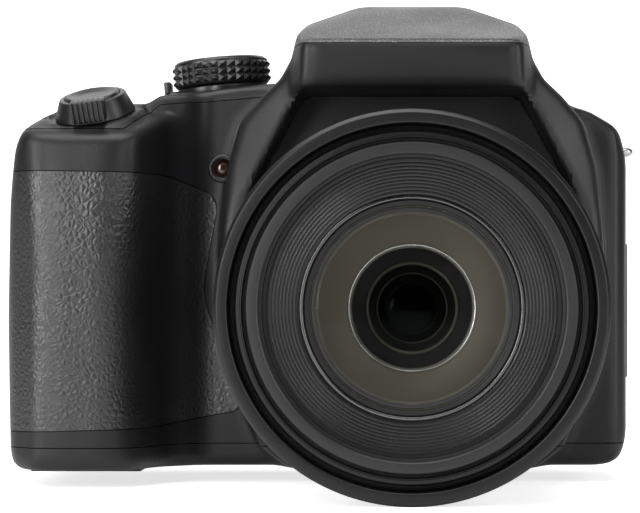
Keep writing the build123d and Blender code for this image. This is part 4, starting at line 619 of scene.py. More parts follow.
def node(tree, kind, inputs=None, **settings):
    """Adds a node with its settings; inputs are values or sockets to link."""
    added = tree.nodes.new(kind)
    for key, value in settings.items():
        setattr(added, key, value)
    for key, value in (inputs or {}).items():
        if isinstance(value, bpy.types.NodeSocket):
            tree.links.new(value, added.inputs[key])
        else:
            added.inputs[key].default_value = value
    return added


def calculate(tree, operation, first, second=None):
    """One step of arithmetic between sockets or numbers; returns the result's socket."""
    given = {0: first} if second is None else {0: first, 1: second}
    return node(tree, "ShaderNodeMath", given, operation=operation).outputs[0]


def finish_material(name, **principled):
    """A new material with its shader's own values set; returns its tree and its shader."""
    material = bpy.data.materials.new(name)
    material.use_nodes = True
    tree = material.node_tree
    tree.nodes.clear()
    shader = node(tree, "ShaderNodeBsdfPrincipled")
    for key, value in principled.items():
        shader.inputs[key.replace("_", " ")].default_value = value
    node(tree, "ShaderNodeOutputMaterial", {"Surface": shader.outputs[0]})
    return tree, shader


def grain(tree, shader, base, scale_mm, depth_mm, contrast, rough, spread=0.06):
    """Colour variation, roughness variation and relief from one noise of a real grain size."""
    where = node(tree, "ShaderNodeTexCoord")
    noise = node(tree, "ShaderNodeTexNoise", {"Vector": where.outputs["Object"], "Scale": 1 / (scale_mm * MM),
                                              "Detail": 3.0, "Roughness": 0.6})
    low = [c * (1 - contrast) for c in base]
    high = [min(1.0, c * (1 + contrast)) for c in base]
    mix = node(tree, "ShaderNodeMix", {0: noise.outputs[0], 6: (*low, 1), 7: (*high, 1)}, data_type="RGBA")
    tree.links.new(mix.outputs[2], shader.inputs["Base Color"])
    wide = node(tree, "ShaderNodeTexNoise", {"Vector": where.outputs["Object"], "Scale": 1 / 0.018,
                                             "Detail": 2.0})
    sheen = node(tree, "ShaderNodeMapRange", {0: wide.outputs[0], 1: 0.3, 2: 0.7, 3: rough - spread,
                                              4: rough + spread})
    tree.links.new(sheen.outputs[0], shader.inputs["Roughness"])
    bump = node(tree, "ShaderNodeBump", {"Height": noise.outputs[0], "Distance": depth_mm * MM,
                                         "Strength": 0.6})
    tree.links.new(bump.outputs[0], shader.inputs["Normal"])
    return where, bump


# Finishes of one even grain: the name, the shader's values, a hex colour or the setting that holds it,
# and the grain's size and depth in millimetres, contrast, roughness and spread of the roughness.
PLAIN_FINISHES = (
    # Black ABS, spark-eroded mould: a fine even grain that greys the light it catches.
    ("moulded_abs", {"IOR": 1.5, "Specular_IOR_Level": 0.38}, "shell", (0.32, 0.05, 0.30, 0.40)),
    # Soft rubber of the eyecup: dull and even.
    ("eyecup_rubber", {"IOR": 1.48}, "#1c1c1d", (0.4, 0.03, 0.2, 0.66)),
    # Satin lacquer sprayed on the lens rings: fine speckle that catches the light in bands.
    ("satin_lacquer", {"IOR": 1.52, "Specular_IOR_Level": 0.32, "Coat_Weight": 0.08, "Coat_Roughness": 0.25},
     "ring", (0.2, 0.02, 0.35, 0.34, 0.04)),
    # Grey lacquer sprayed on the filter ring: a little paler than the other rings.
    ("grey_lacquer", {"IOR": 1.52, "Metallic": 0.2}, "#232324", (0.18, 0.02, 0.55, 0.38, 0.04)),
    # Black plastic of the name ring: fine turned grooves are in its mesh, the finish is semi-gloss.
    ("grooved_plastic", {"IOR": 1.52}, "#141415", (0.5, 0.01, 0.15, 0.27, 0.03)),
    # Bright turned aluminium of the retaining ring.
    ("turned_aluminium", {"Metallic": 1.0}, "silver", (0.15, 0.01, 0.08, 0.24, 0.04)),
    # Brown-grey anodised cone inside the lens: satin, with a faint turned look.
    ("anodised_cell", {"Metallic": 0.1}, "cell", (0.25, 0.01, 0.10, 0.55, 0.05)),
    # Matt blacking inside the lens, which swallows light.
    ("lens_blacking", {"IOR": 1.45}, "#060606", (0.3, 0.01, 0.2, 0.6)),
    # Amber moulded lens of the focus lamp, polished.
    ("amber_lens", {"IOR": 1.49, "Coat_Weight": 0.6}, "lamp", (0.9, 0.01, 0.25, 0.14, 0.03)),
    # Moulded control plastic: smoother than the covers, with a soft gloss.
    ("control_plastic", {"IOR": 1.52}, "#19191a", (0.35, 0.015, 0.18, 0.32, 0.04)),
    # Red moulding around the record button.
    ("red_moulding", {"IOR": 1.5}, "record", (0.4, 0.01, 0.1, 0.32, 0.03)),
    # White tampo ink of the marks.
    ("white_ink", {"IOR": 1.45}, "#d6d6d2", (0.3, 0.005, 0.06, 0.5, 0.03)),
    # Black glass of the screen: a mirror-smooth pane over a dark panel.
    ("screen_pane", {"IOR": 1.5, "Coat_Weight": 0.5, "Coat_Roughness": 0.03}, "#101012",
     (3.0, 0.002, 0.1, 0.09, 0.02)),
    # Bright plated steel of lugs, screws and pins.
    ("plated_steel", {"Metallic": 1.0}, "#b9b9ba", (0.2, 0.01, 0.1, 0.28, 0.05)),
    # Bare pressed sheet metal inside.
    ("bare_sheet", {"Metallic": 0.9}, "#a8a8a9", (0.6, 0.01, 0.1, 0.38, 0.05)),
    # Green solder mask of the boards.
    ("solder_mask", {"IOR": 1.5}, "#1d5a38", (0.9, 0.02, 0.25, 0.35, 0.05)),
    # Moulded case of the battery and the dark inner parts.
    ("inner_moulding", {"IOR": 1.5}, "#333335", (0.5, 0.02, 0.15, 0.5)),
    # White moulded acetal of the gear.
    ("acetal", {"IOR": 1.48}, "#e2e0d8", (0.5, 0.01, 0.05, 0.42)),
)


def materials():
    """Every finish of the camera, by its name."""
    if "moulded_abs" in bpy.data.materials:
        return bpy.data.materials
    chosen = bpy.context.scene.finish_settings

    for name, values, shade, look in PLAIN_FINISHES:
        tree, shader = finish_material(name, **values)
        base = linear(shade) if shade.startswith("#") else list(getattr(chosen, shade))
        grain(tree, shader, base, *look)

    # Painted ABS of the flash lid: pale flakes of pigment in dark satin paint.
    tree, shader = finish_material("speckled_paint", IOR=1.5, Metallic=0.25)
    where, _ = grain(tree, shader, list(chosen.paint), 0.28, 0.03, 0.25, 0.40)
    flakes = node(tree, "ShaderNodeTexVoronoi", {"Vector": where.outputs["Object"], "Scale": 1 / (0.42 * MM)},
                  feature="F1")
    spark = node(tree, "ShaderNodeMapRange", {0: flakes.outputs["Distance"], 1: 0.12, 2: 0.30, 3: 0.65,
                                              4: 0.0})
    mix = node(tree, "ShaderNodeMix", {0: spark.outputs[0], 6: (*chosen.paint, 1),
                                       7: (*linear("#c9c9c6"), 1)}, data_type="RGBA")
    tree.links.new(mix.outputs[2], shader.inputs["Base Color"])

    # Thermoplastic rubber with a leather grain: wrinkles about 1.2 mm apart between soft cells.
    tree, shader = finish_material("grip_elastomer", IOR=1.52, Specular_IOR_Level=0.75)
    where, bump = grain(tree, shader, list(chosen.rubber), 0.5, 0.03, 0.25, 0.38)
    warp = node(tree, "ShaderNodeTexNoise", {"Vector": where.outputs["Object"], "Scale": 1 / (2.4 * MM),
                                             "Detail": 2.0})
    drift = node(tree, "ShaderNodeVectorMath", {0: warp.outputs["Color"], 1: (0.5, 0.5, 0.5)},
                 operation="SUBTRACT")
    bend = node(tree, "ShaderNodeVectorMath", {0: drift.outputs[0], "Scale": 0.9 * MM}, operation="SCALE")
    bent = node(tree, "ShaderNodeVectorMath", {0: where.outputs["Object"], 1: bend.outputs[0]},
                operation="ADD")
    cells = node(tree, "ShaderNodeTexVoronoi", {"Vector": bent.outputs[0], "Scale": 1 / (1.15 * MM)},
                 feature="DISTANCE_TO_EDGE")
    folds = node(tree, "ShaderNodeMapRange", {0: cells.outputs["Distance"], 1: 0.0, 2: 0.42, 3: 0.0, 4: 1.0})
    relief = node(tree, "ShaderNodeBump", {"Height": folds.outputs[0], "Distance": 0.11 * MM, "Strength": 0.6,
                                           "Normal": bump.outputs[0]})
    tree.links.new(relief.outputs[0], shader.inputs["Normal"])

    # Coated optical glass: clear, with a faint green bloom where it mirrors the lights.
    material = bpy.data.materials.new("coated_glass")
    material.use_nodes = True
    tree = material.node_tree
    tree.nodes.clear()
    clear = node(tree, "ShaderNodeBsdfTransparent", {"Color": (0.93, 0.94, 0.93, 1)})
    gloss = node(tree, "ShaderNodeBsdfGlossy", {"Color": (*linear("#c9d6d2"), 1), "Roughness": 0.02})
    edge = node(tree, "ShaderNodeFresnel", {"IOR": 1.14})
    mixed = node(tree, "ShaderNodeMixShader", {0: edge.outputs[0], 1: clear.outputs[0], 2: gloss.outputs[0]})
    node(tree, "ShaderNodeOutputMaterial", {"Surface": mixed.outputs[0]})

    # Prismatic acrylic of the flash window: fine upright ribs.
    tree, shader = finish_material("prismatic_acrylic", Roughness=0.18, IOR=1.49, Transmission_Weight=0.7,
                                   Base_Color=(0.9, 0.9, 0.88, 1))
    where = node(tree, "ShaderNodeTexCoord")
    ribs = node(tree, "ShaderNodeTexWave", {"Vector": where.outputs["Object"], "Scale": 1 / (5.0 * MM)},
                wave_type="BANDS", bands_direction="X")
    bump = node(tree, "ShaderNodeBump", {"Height": ribs.outputs[0], "Distance": 0.1 * MM})
    tree.links.new(bump.outputs[0], shader.inputs["Normal"])
    return bpy.data.materials


def seen_directly(tree):
    """One where the camera looks straight at it or through glass, else nought."""
    ray = node(tree, "ShaderNodeLightPath").outputs
    return calculate(tree, "MAXIMUM", ray["Is Camera Ray"], ray["Is Transmission Ray"])


def paint(obj, name):
    """Gives a piece one material in its first slot."""
    obj.data.materials.clear()
    obj.data.materials.append(materials()[name])
    return obj


def settle(obj, body, finish, slot, *nodes):
    """Paints a piece, rides it on its body and hides the parts it replaces; its slot is not used."""
    paint(obj, finish)
    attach(obj, body)
    if nodes:
        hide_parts(*nodes)
    return obj


def lens_ring(name, profile, body, finish, slot, soft, *nodes):
    """A turned ring of the lens, painted and riding its barrel."""
    return settle(turned(name, profile, soft=soft), body, finish, slot, *nodes)


def knob(name, profile, place, body, soft=0.25, segments=64, closed=False):
    """A turned control that takes the place of the CAD node named as its body."""
    part = turned(name, profile, place, soft, segments, closed)
    return settle(part, body, "control_plastic", "control_black", body)


def pattern(shape, body, finish, place, *numbers):
    """A small shape repeated by the geometry nodes, riding a control."""
    return settle(repeated(shape, materials()[finish], place, *numbers), body, finish, "control_black")


def facing_back(x, z):
    """A frame on the back of the body whose Z points away from it."""
    return Matrix.Translation((x, BODY_BACK, z)) @ Matrix.Rotation(-pi / 2, 4, "X")


def dress(name, finish):
    """Gives a CAD node its material."""
    for holder in NODES[name].material_slots:
        holder.material = materials()[finish]
    if not NODES[name].material_slots:
        NODES[name].data.materials.append(materials()[finish])


# ---- the pieces -------------------------------------------------------------

def slab(name, y=(-60, 30), z=(-5, 100)):
    """A large plain box that bounds one cover."""
    return block(name, (-95, y[0], z[0]), (60, y[1], z[1]))


# Openings cut straight into each cover, each from one corner to the other.
WAYS = {
    "base": (("battery_door", (-75.95, -30.35, -1), (-53.85, 5.15, 6)),
             ("hinge_knuckles", (-73.35, 4.9, -1), (-58.05, 8.35, 4.9))),
    "front": (("side_door", (43.3, -8.15, 17.85), (48, 4.75, 46.15)),
              ("sockets", (40, -7.0, 19), (48, 3.6, 45))),
    "rear": (("screen_glass", (-25.1, 18.8, 7.4), (42.6, 25, 61.6)),
             ("screen_panel", (-23, 10, 9.5), (40.5, 25, 59.5)),
             ("finder", (-12.6, 14, 73.1), (12.6, 25, 87.3))),
}
EARS = ((-75.35, -73.35), (-58.05, -56.05))     # from and to along x, beside the battery door's knuckles


def cut_ways(cover, side):
    """Cuts the openings of one cover."""
    for name, low, high in WAYS[side]:
        combine(cover, block(name + "_way", low, high))


def top_prism(grow):
    """The space of the top cover, grown or shrunk by a seam."""
    low = TOP_JOINT - grow
    return prism("top_space", [(-90, low), (-57 + grow * 0.4, low), (-51 + grow * 0.7, 73.6 - grow * 0.7),
                               (-28 + grow, 75.6 - grow), (-28 + grow, 99), (-90, 99)], -60, 30)


def lid_prism(grow):
    """The space of the flash lid: above the brow and in front of an arc about its pins."""
    floor, radius = LID_JOINT - grow, LID_ARC - grow
    pin_y, pin_z = FLASH_PIN
    start = acos((floor - pin_z) / radius)
    turns = [start * (1 - k / 12) for k in range(13)]
    arc = [(pin_y - radius * sin(turn), pin_z + radius * cos(turn)) for turn in turns]
    return prism("lid_space", [(-60, floor)] + arc + [(pin_y, 101), (-60, 101)], -40, 40, "x")


# The arms of the flash lid, seen from the side: back and up.
ARM = [(-2, 80.6), (-2, 83.4), (-18.7, 79.9), (-20.7, 90), (-26.7, 88.6), (-26.7, 77.5), (-18.7, 77.5)]


def rubber_prism(grow):
    """The space of the grip rubber seen from the front."""
    corners = []
    for x, z, radius in RUBBER:
        centre_x, centre_z = -62.0, 34.0
        stretch_x, stretch_z = (grow if x > centre_x else -grow), (grow if z > centre_z else -grow)
        corners.append((x + stretch_x, z + stretch_z, radius))
    return prism("rubber_space", outline_points(corners), -60, 0)


class CAMERA_OT_covers(Operator):
    """Makes the moulded covers, the grip rubber and the flash lid"""
    bl_idname = "camera_kit.covers"
    bl_label = "Covers"

    def execute(self, context):
        sizes = context.scene.cover_settings
        step = sizes.step / MM
        low = (-88.0, -53.0, -3.0)
        axes = [np.arange(a, b, step) for a, b in zip(low, (49.0, 23.0, 98.0))]
        values = body_field(axes[0][:, None, None], axes[1][None, :, None], axes[2][None, None, :],
                            sizes.edge / MM, sizes.hump_edge / MM)
        seam, wall, skin = sizes.seam / MM, sizes.wall / MM, sizes.skin / MM
        outer = field_mesh("outer", values, low, step, 0.0)
        under_skin = field_mesh("under_skin", values, low, step, -skin)
        hollow = field_mesh("hollow", values, low, step, -wall)
        shell = combine(duplicate(outer, "shell"), hollow, keep=True)
        rubber_shell = combine(duplicate(outer, "rubber_shell"), under_skin, keep=True)
        combine(shell, rod("bore", 30.95, -40, -12, (0, LENS_AXIS), "y", 128))

        rubber = combine(rubber_shell, rubber_prism(-seam), "INTERSECT")
        combine(rubber, slab("front_half", y=(-60, COVER_JOINT - seam), z=(BASE_JOINT + seam, 100)),
                "INTERSECT")
        settle(smooth(rubber), "camera", "grip_elastomer", "grip_rubber", "grip_rubber")
        rubber.name = "grip_rubber_skin"

        top = combine(duplicate(shell, "top_cover_skin"), top_prism(-seam), "INTERSECT")
        rest = combine(shell, top_prism(seam))
        for place, radius, low_end, high_end in ((DIAL_PLACE, 2.1, -12, 6), (SHUTTER_PLACE, 6.5, -3.1, 3),
                                                 (REC_PLACE, 2.85, -8, 3), (FUNCTION_PLACE, 2.95, -8, 3)):
            tool = rod("tool", radius, low_end, high_end)
            tool.data.transform(in_metres(place))
            combine(top, tool)
        settle(smooth(top), "camera", "moulded_abs", "body_plastic", "top_cover")

        lid = combine(duplicate(rest, "flash_lid_skin"), lid_prism(-seam), "INTERSECT")
        combine(rest, lid_prism(seam))
        arms = []
        for x in (-15.6, 13.6):
            arm = prism("arm", ARM, x, x + 2, "x")
            combine(arm, rod("eye", 2.4, x, x + 2, FLASH_PIN, "x"), "UNION")
            arms.append(combine(arm, rod("pin_hole", 1.08, x - 1, x + 3, FLASH_PIN, "x")))
        house = block("house", (-13, -42.4, 77.6), (13, -32.4, 85.2), 0.4)
        lid = joined("flash_lid_skin", [lid, house] + arms)
        settle(lid, "flash_lid", "speckled_paint", "hump_paint", "flash_lid")

        base = combine(duplicate(rest, "base_cover_skin"), slab("low", z=(-5, BASE_JOINT - seam)),
                       "INTERSECT")
        upper = combine(rest, slab("high", z=(BASE_JOINT + seam, 100)), "INTERSECT")
        cut_ways(base, "base")
        for x0, x1 in EARS:
            combine(base, block("ear", (x0, 5.15, 0), (x1, 8.35, 3)), "UNION")
        combine(base, rod("socket_way", 4.7, -1, 5))
        for x, y in SCREWS:
            combine(base, rod("screw_way", 2.05, -1, 1.15, (x, y)))
        settle(smooth(base), "camera", "moulded_abs", "body_plastic", "base_cover")

        rear = combine(duplicate(upper, "rear_cover_skin"), slab("back", y=(COVER_JOINT + seam, 30)),
                       "INTERSECT")
        front = combine(upper, slab("front", y=(-60, COVER_JOINT - seam)), "INTERSECT")
        front.name = "front_cover_skin"
        pocket = combine(rubber_prism(seam), under_skin, keep=True)
        combine(front, pocket)
        combine(front, rod("lamp_way", 2.95, -30, -12, (LAMP_X, LAMP_Z), "y"))
        cut_ways(front, "front")
        settle(smooth(front), "camera", "moulded_abs", "body_plastic", "front_cover")

        for x, z, radius in REAR_HOLES:
            combine(rear, rod("button_way", radius + 0.15, 10, 25, (x, z), "y"))
        cut_ways(rear, "rear")
        combine(rear, rod("dial_way", 7.8, 59.4, 63.6, (-52.5, 15.1)))
        combine(rear, rod("diopter_way", 3.75, 18.5, 25, DIOPTER, "y"))
        settle(smooth(rear), "camera", "moulded_abs", "body_plastic", "rear_cover")
        for helper in (outer, under_skin, hollow):
            discard(helper)
        return {"FINISHED"}


SCREWS = ((-40, 13), (0, 13), (36.7, 13), (36.7, -8))
SMALL_BUTTONS = {"lock_button": (-38.34, 67.768), "play_button": (-32.54, 55.948),
                 "display_button": (-34.86, 11.426), "delete_button": (-58.06, 11.426),
                 "finder_button": (25.46, 68.95)}
PAD = (-47.68, LENS_AXIS)
DIOPTER = (-22.6, 77.2)
REAR_HOLES = [(x, z, 2.9) for x, z in SMALL_BUTTONS.values()] + [(*PAD, 10.5)]


class CAMERA_OT_lens(Operator):
    """Makes the rings, tubes and glasses of the lens"""
    bl_idname = "camera_kit.lens"
    bl_label = "Lens"

    def execute(self, context):
        sizes = context.scene.lens_settings
        lens_ring("lens_trim_ring_turned", [
            (32.9, -87.0), (33.1, -87.2), (34.72, -87.2), (35.4, -86.5), (35.4, -84.2), (35.1, -84.0),
            (35.1, -83.6), (35.4, -83.4), (35.4, -79.7), (34.8, -79.0), (32.9, -79.0)], "camera",
                  "satin_lacquer", "lens_paint", 0.14, "lens_trim_ring")
        tube = turned("lens_housing_turned", [
            (31.78, -79.0), (33.6, -79.0), (33.6, -60.2), (33.4, -60.0), (33.4, -59.6), (33.6, -59.4),
            (33.6, -29.1), (30.8, -29.1), (30.8, -13), (12, -13), (12, -16.1), (18, -16.1), (18, -25.5),
            (24.92, -25.5), (24.92, -16.0), (29.7, -16.0), (29.7, -31.1), (32.3, -31.1), (32.3, -76.0),
            (31.78, -76.0)], soft=0.1)
        flange = combine(block("flange", (-35.4, -16, 5.25), (35.4, -13, 67.5), 0.2),
                         rod("flange_bore", 12.2, -20, -10, (0, LENS_AXIS), "y", 96))
        posts = [rod("post", 1.8, -13, -6, (x, LENS_AXIS), "y") for x in (-14.3, 14.3)]
        posts.append(rod("gear_pin", 1.0, -13, -9, (22.176, 45.924), "y"))
        settle(joined("lens_housing_turned", [tube, flange] + posts), "camera", "satin_lacquer", "lens_paint",
               "lens_housing")
        lens_ring("outer_barrel_turned", [
            (30.4, -86.0), (30.55, -86.0), (30.75, -85.8), (31.35, -85.8), (31.7, -85.5), (31.7, -39.0),
            (32.22, -39.0), (32.22, -36.0), (30.4, -36.0), (30.4, -81.6), (29.68, -81.6), (29.68, -83.6),
            (30.4, -83.6)], "outer_barrel", "satin_lacquer", "barrel_plastic", 0.1, "outer_barrel")
        thread = []
        pitch = sizes.thread / MM
        turns = int(4.0 / pitch)
        for k in range(turns):
            start = -86.3 + k * pitch
            thread += [(27.5, start), (27.86, start + pitch / 2)]
        inner = turned("inner_barrel_turned", [
            (27.5, -86.42), (27.72, -86.6), (29.38, -86.6), (29.6, -86.38), (29.6, -43.6), (30.32, -43.6),
            (30.32, -40.6), (28.2, -40.6), (28.2, -78.2), (19.55, -78.2), (19.55, -80.2), (27.0, -80.2),
            (27.0, -82.2), (28.1, -82.2), (28.1, -86.42)], soft=0.05)
        insert = turned("filter_thread_turned", thread + [
            (27.5, -82.3), (28.1, -82.3), (28.1, -86.35)], soft=0)
        settle(insert, "inner_barrel", "lens_blacking", "barrel_plastic")
        settle(inner, "inner_barrel", "grey_lacquer", "barrel_plastic", "inner_barrel")
        groove = sizes.groove / MM
        count = int(6.1 / groove)
        face = []
        for k in range(count):
            radius = 20.75 + k * groove
            depth = -81.5 - 0.5 * (radius - 20.3) / 6.6
            face += [(radius, depth), (radius + groove * 0.62, depth - 0.02),
                     (radius + groove * 0.8, depth + 0.015)]
        lens_ring("name_ring_turned", [
            (20.3, -80.2), (20.3, -81.45)] + face + [(26.9, -82.0), (26.9, -80.2)], "inner_barrel",
                  "grooved_plastic", "barrel_plastic", 0.03, "name_ring")
        lens_ring("retaining_ring_turned", [
            (19.55, -80.2), (19.55, -82.0), (19.7, -82.2), (20.1, -82.2), (20.25, -82.0), (20.25, -80.2)],
                  "inner_barrel", "turned_aluminium", "ring_silver", 0.08, "retaining_ring")
        lens_ring("front_cell_turned", [
            (18.65, -80.2), (18.65, -80.6), (19.5, -80.6), (19.5, -63.0), (11.2, -63.0), (11.2, -66.6),
            (11.9, -66.8), (11.9, -69.6), (12.3, -70.2), (17.0, -76.9), (18.65, -77.0)], "inner_barrel",
                  "anodised_cell", "cell_black", 0.08, "front_cell")
        lens_ring("glass_stop", [
            (18.4, -80.75), (18.55, -81.0), (19.3, -81.2), (19.5, -81.1), (19.5, -80.62), (18.7, -80.62)],
                  "inner_barrel", "lens_blacking", "cell_black", 0.06)
        lens_ring("glass_lip", [
            (17.4, -80.75), (17.55, -80.95), (18.05, -80.95), (18.2, -80.75), (17.8, -80.5)],
                  "inner_barrel", "grey_lacquer", "cell_black", 0.04)
        edges = ((11.75, -68.2, "inner_barrel", "plated_steel"), (6.85, -46.7, "zoom_group", "anodised_cell"),
                 (5.25, -20.15, "camera", "anodised_cell"))
        for number, (radius, depth, body, finish) in enumerate(edges):
            lens_ring(f"inner_edge_{number}", [
                (radius - 0.22, depth), (radius, depth - 0.12), (radius, depth + 0.5),
                (radius - 0.22, depth + 0.5)], body, finish, "cell_black", 0.04)
        group = turned("zoom_cell_turned", [
            (8.25, -51.0), (8.25, -51.4), (9.0, -51.9), (24.92, -51.9), (24.92, -40.95), (6.6, -40.95),
            (6.6, -46.6), (8.25, -47.4)], soft=0.1)
        group_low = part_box("zoom_group")[0]
        group.data.transform(Matrix.Translation((0, group_low.y + 51.9 * MM, 0)))
        settle(group, "zoom_group", "lens_blacking", "cell_black", "zoom_group")
        rim = turned("zoom_cell_rim", [
            (8.3, 0), (8.3, -0.35), (8.55, -0.5), (8.9, -0.35), (8.9, 0)], soft=0.08)
        rim.data.transform(Matrix.Translation((0, group_low.y - 0.05 * MM, 0)))
        settle(rim, "zoom_group", "anodised_cell", "cell_black")
        crown = [(18.6 * k / 12, -80.2 - 1.55 * (1 - (k / 12) ** 2)) for k in range(13)]
        glass = turned("front_glass", [
            (r, y) for r, y in crown] + [(18.55, -77.1), (0, -77.1)], soft=0, closed=False)
        settle(glass, "inner_barrel", "coated_glass", "lens_glass", "front_element")
        for name, finish in (("zoom_glass", "coated_glass"), ("rear_glass", "coated_glass"),
                             ("iris_unit", "lens_blacking"), ("cam_tube", "lens_blacking"),
                             ("zoom_motor", "plated_steel"), ("zoom_gear", "acetal"),
                             ("image_sensor", "solder_mask")):
            dress(name, finish)
        return {"FINISHED"}


class CAMERA_OT_controls(Operator):
    """Makes the dials, levers and buttons on top"""
    bl_idname = "camera_kit.controls"
    bl_label = "Top controls"

    def execute(self, context):
        sizes = context.scene.control_settings
        knob("mode_dial_core", [
            (0, 7.35), (8.3, 7.35), (8.55, 7.5), (9.1, 7.5), (9.75, 6.95), (9.75, 2.3), (9.3, 1.9),
            (2.0, 1.9), (2.0, -8.0), (0, -8.0)], DIAL_PLACE, "mode_dial", 0.15, 96)
        tip = mesh_object("mode_dial_knurls", [
            (0, -0.9, -0.66), (0, 0.9, -0.66), (0, 0.9, 0.66), (0, -0.9, 0.66), (0.53, -0.16, -0.1),
            (0.53, 0.16, -0.1), (0.53, 0.16, 0.1), (0.53, -0.16, 0.1)],
                          [[0, 1, 2, 3], [4, 5, 6, 7], [0, 1, 5, 4], [1, 2, 6, 5], [2, 3, 7, 6],
                           [3, 0, 4, 7]])
        place = DIAL_PLACE @ Matrix.Translation((0, 0, 3.05))
        pattern(tip, "mode_dial", "control_plastic", place, sizes.knurls, sizes.knurl_rows, 9.72, 0, 1.42)
        tick = block("mode_dial_marks", (6.5, -0.14, 7.3), (7.6, 0.14, 7.42), 0.03)
        pattern(tick, "mode_dial", "white_ink", DIAL_PLACE, 12, 1, 0.001)

        ring = turned("power_lever_ring", [
            (4.1, 0.2), (9.6, 0.2), (9.6, 1.6), (4.1, 1.6)], DIAL_PLACE, soft=0.15, segments=96)
        arm = block("arm", (-12.1, -2.4, 0.2), (-7.8, 2.4, 1.6), 0.2, DIAL_PLACE)
        tab = block("tab", (-12.1, -2.4, 0.2), (-10.6, 2.4, 3.75), 0.35, DIAL_PLACE)
        settle(joined("power_lever_ring", [ring, arm, tab]), "power_lever", "control_plastic",
               "control_black", "power_lever")

        collar = turned("zoom_lever_collar", [
            (5.65, 4.0), (5.9, 4.0), (6.65, 3.95), (8.05, 0.35), (8.05, 0.1), (6.4, 0.1), (6.4, -2.6),
            (5.65, -2.6)], SHUTTER_PLACE, soft=0.2, segments=96)
        core = block("tab", (-3.4, -9.5, 0.8), (3.4, -6.0, 5.1), 0.35, SHUTTER_PLACE)
        rib = block("zoom_lever_ribs", (-0.22, -10.15, 0.9), (0.22, -6.6, 5.2), 0.12)
        place = SHUTTER_PLACE @ Matrix.Translation((-3.0, 0, 0))
        pattern(rib, "zoom_lever", "control_plastic", place, sizes.ribs, 1, 0, 6.0 / (sizes.ribs - 1))
        settle(joined("zoom_lever_collar", [collar, core]), "zoom_lever", "control_plastic", "control_black",
               "zoom_lever")
        knob("shutter_button_cap", [
            (0, 4.0), (2.6, 4.08), (4.6, 4.4), (5.1, 4.4), (5.5, 4.0), (5.5, 2.3), (1.5, 2.3), (1.5, -7.0),
            (0, -7.0)], SHUTTER_PLACE, "shutter_button", 0.4, 96)
        for name, place, radius in (("rec_button", REC_PLACE, 2.7), ("function_button", FUNCTION_PLACE, 2.8)):
            knob(name + "_cap", [
                (0, 0.75), (radius * 0.7, 0.7), (radius, 0.35), (radius, -4.0), (radius + 0.8, -4.05),
                (radius + 0.8, -4.65), (0, -4.65)], place, name)
        mark = turned("record_mark", [
            (2.95, -0.2), (2.95, 0.05), (3.5, 0.05), (3.6, -0.2)], REC_PLACE, soft=0.06, segments=64)
        settle(mark, "camera", "red_moulding", "body_plastic")
        return {"FINISHED"}


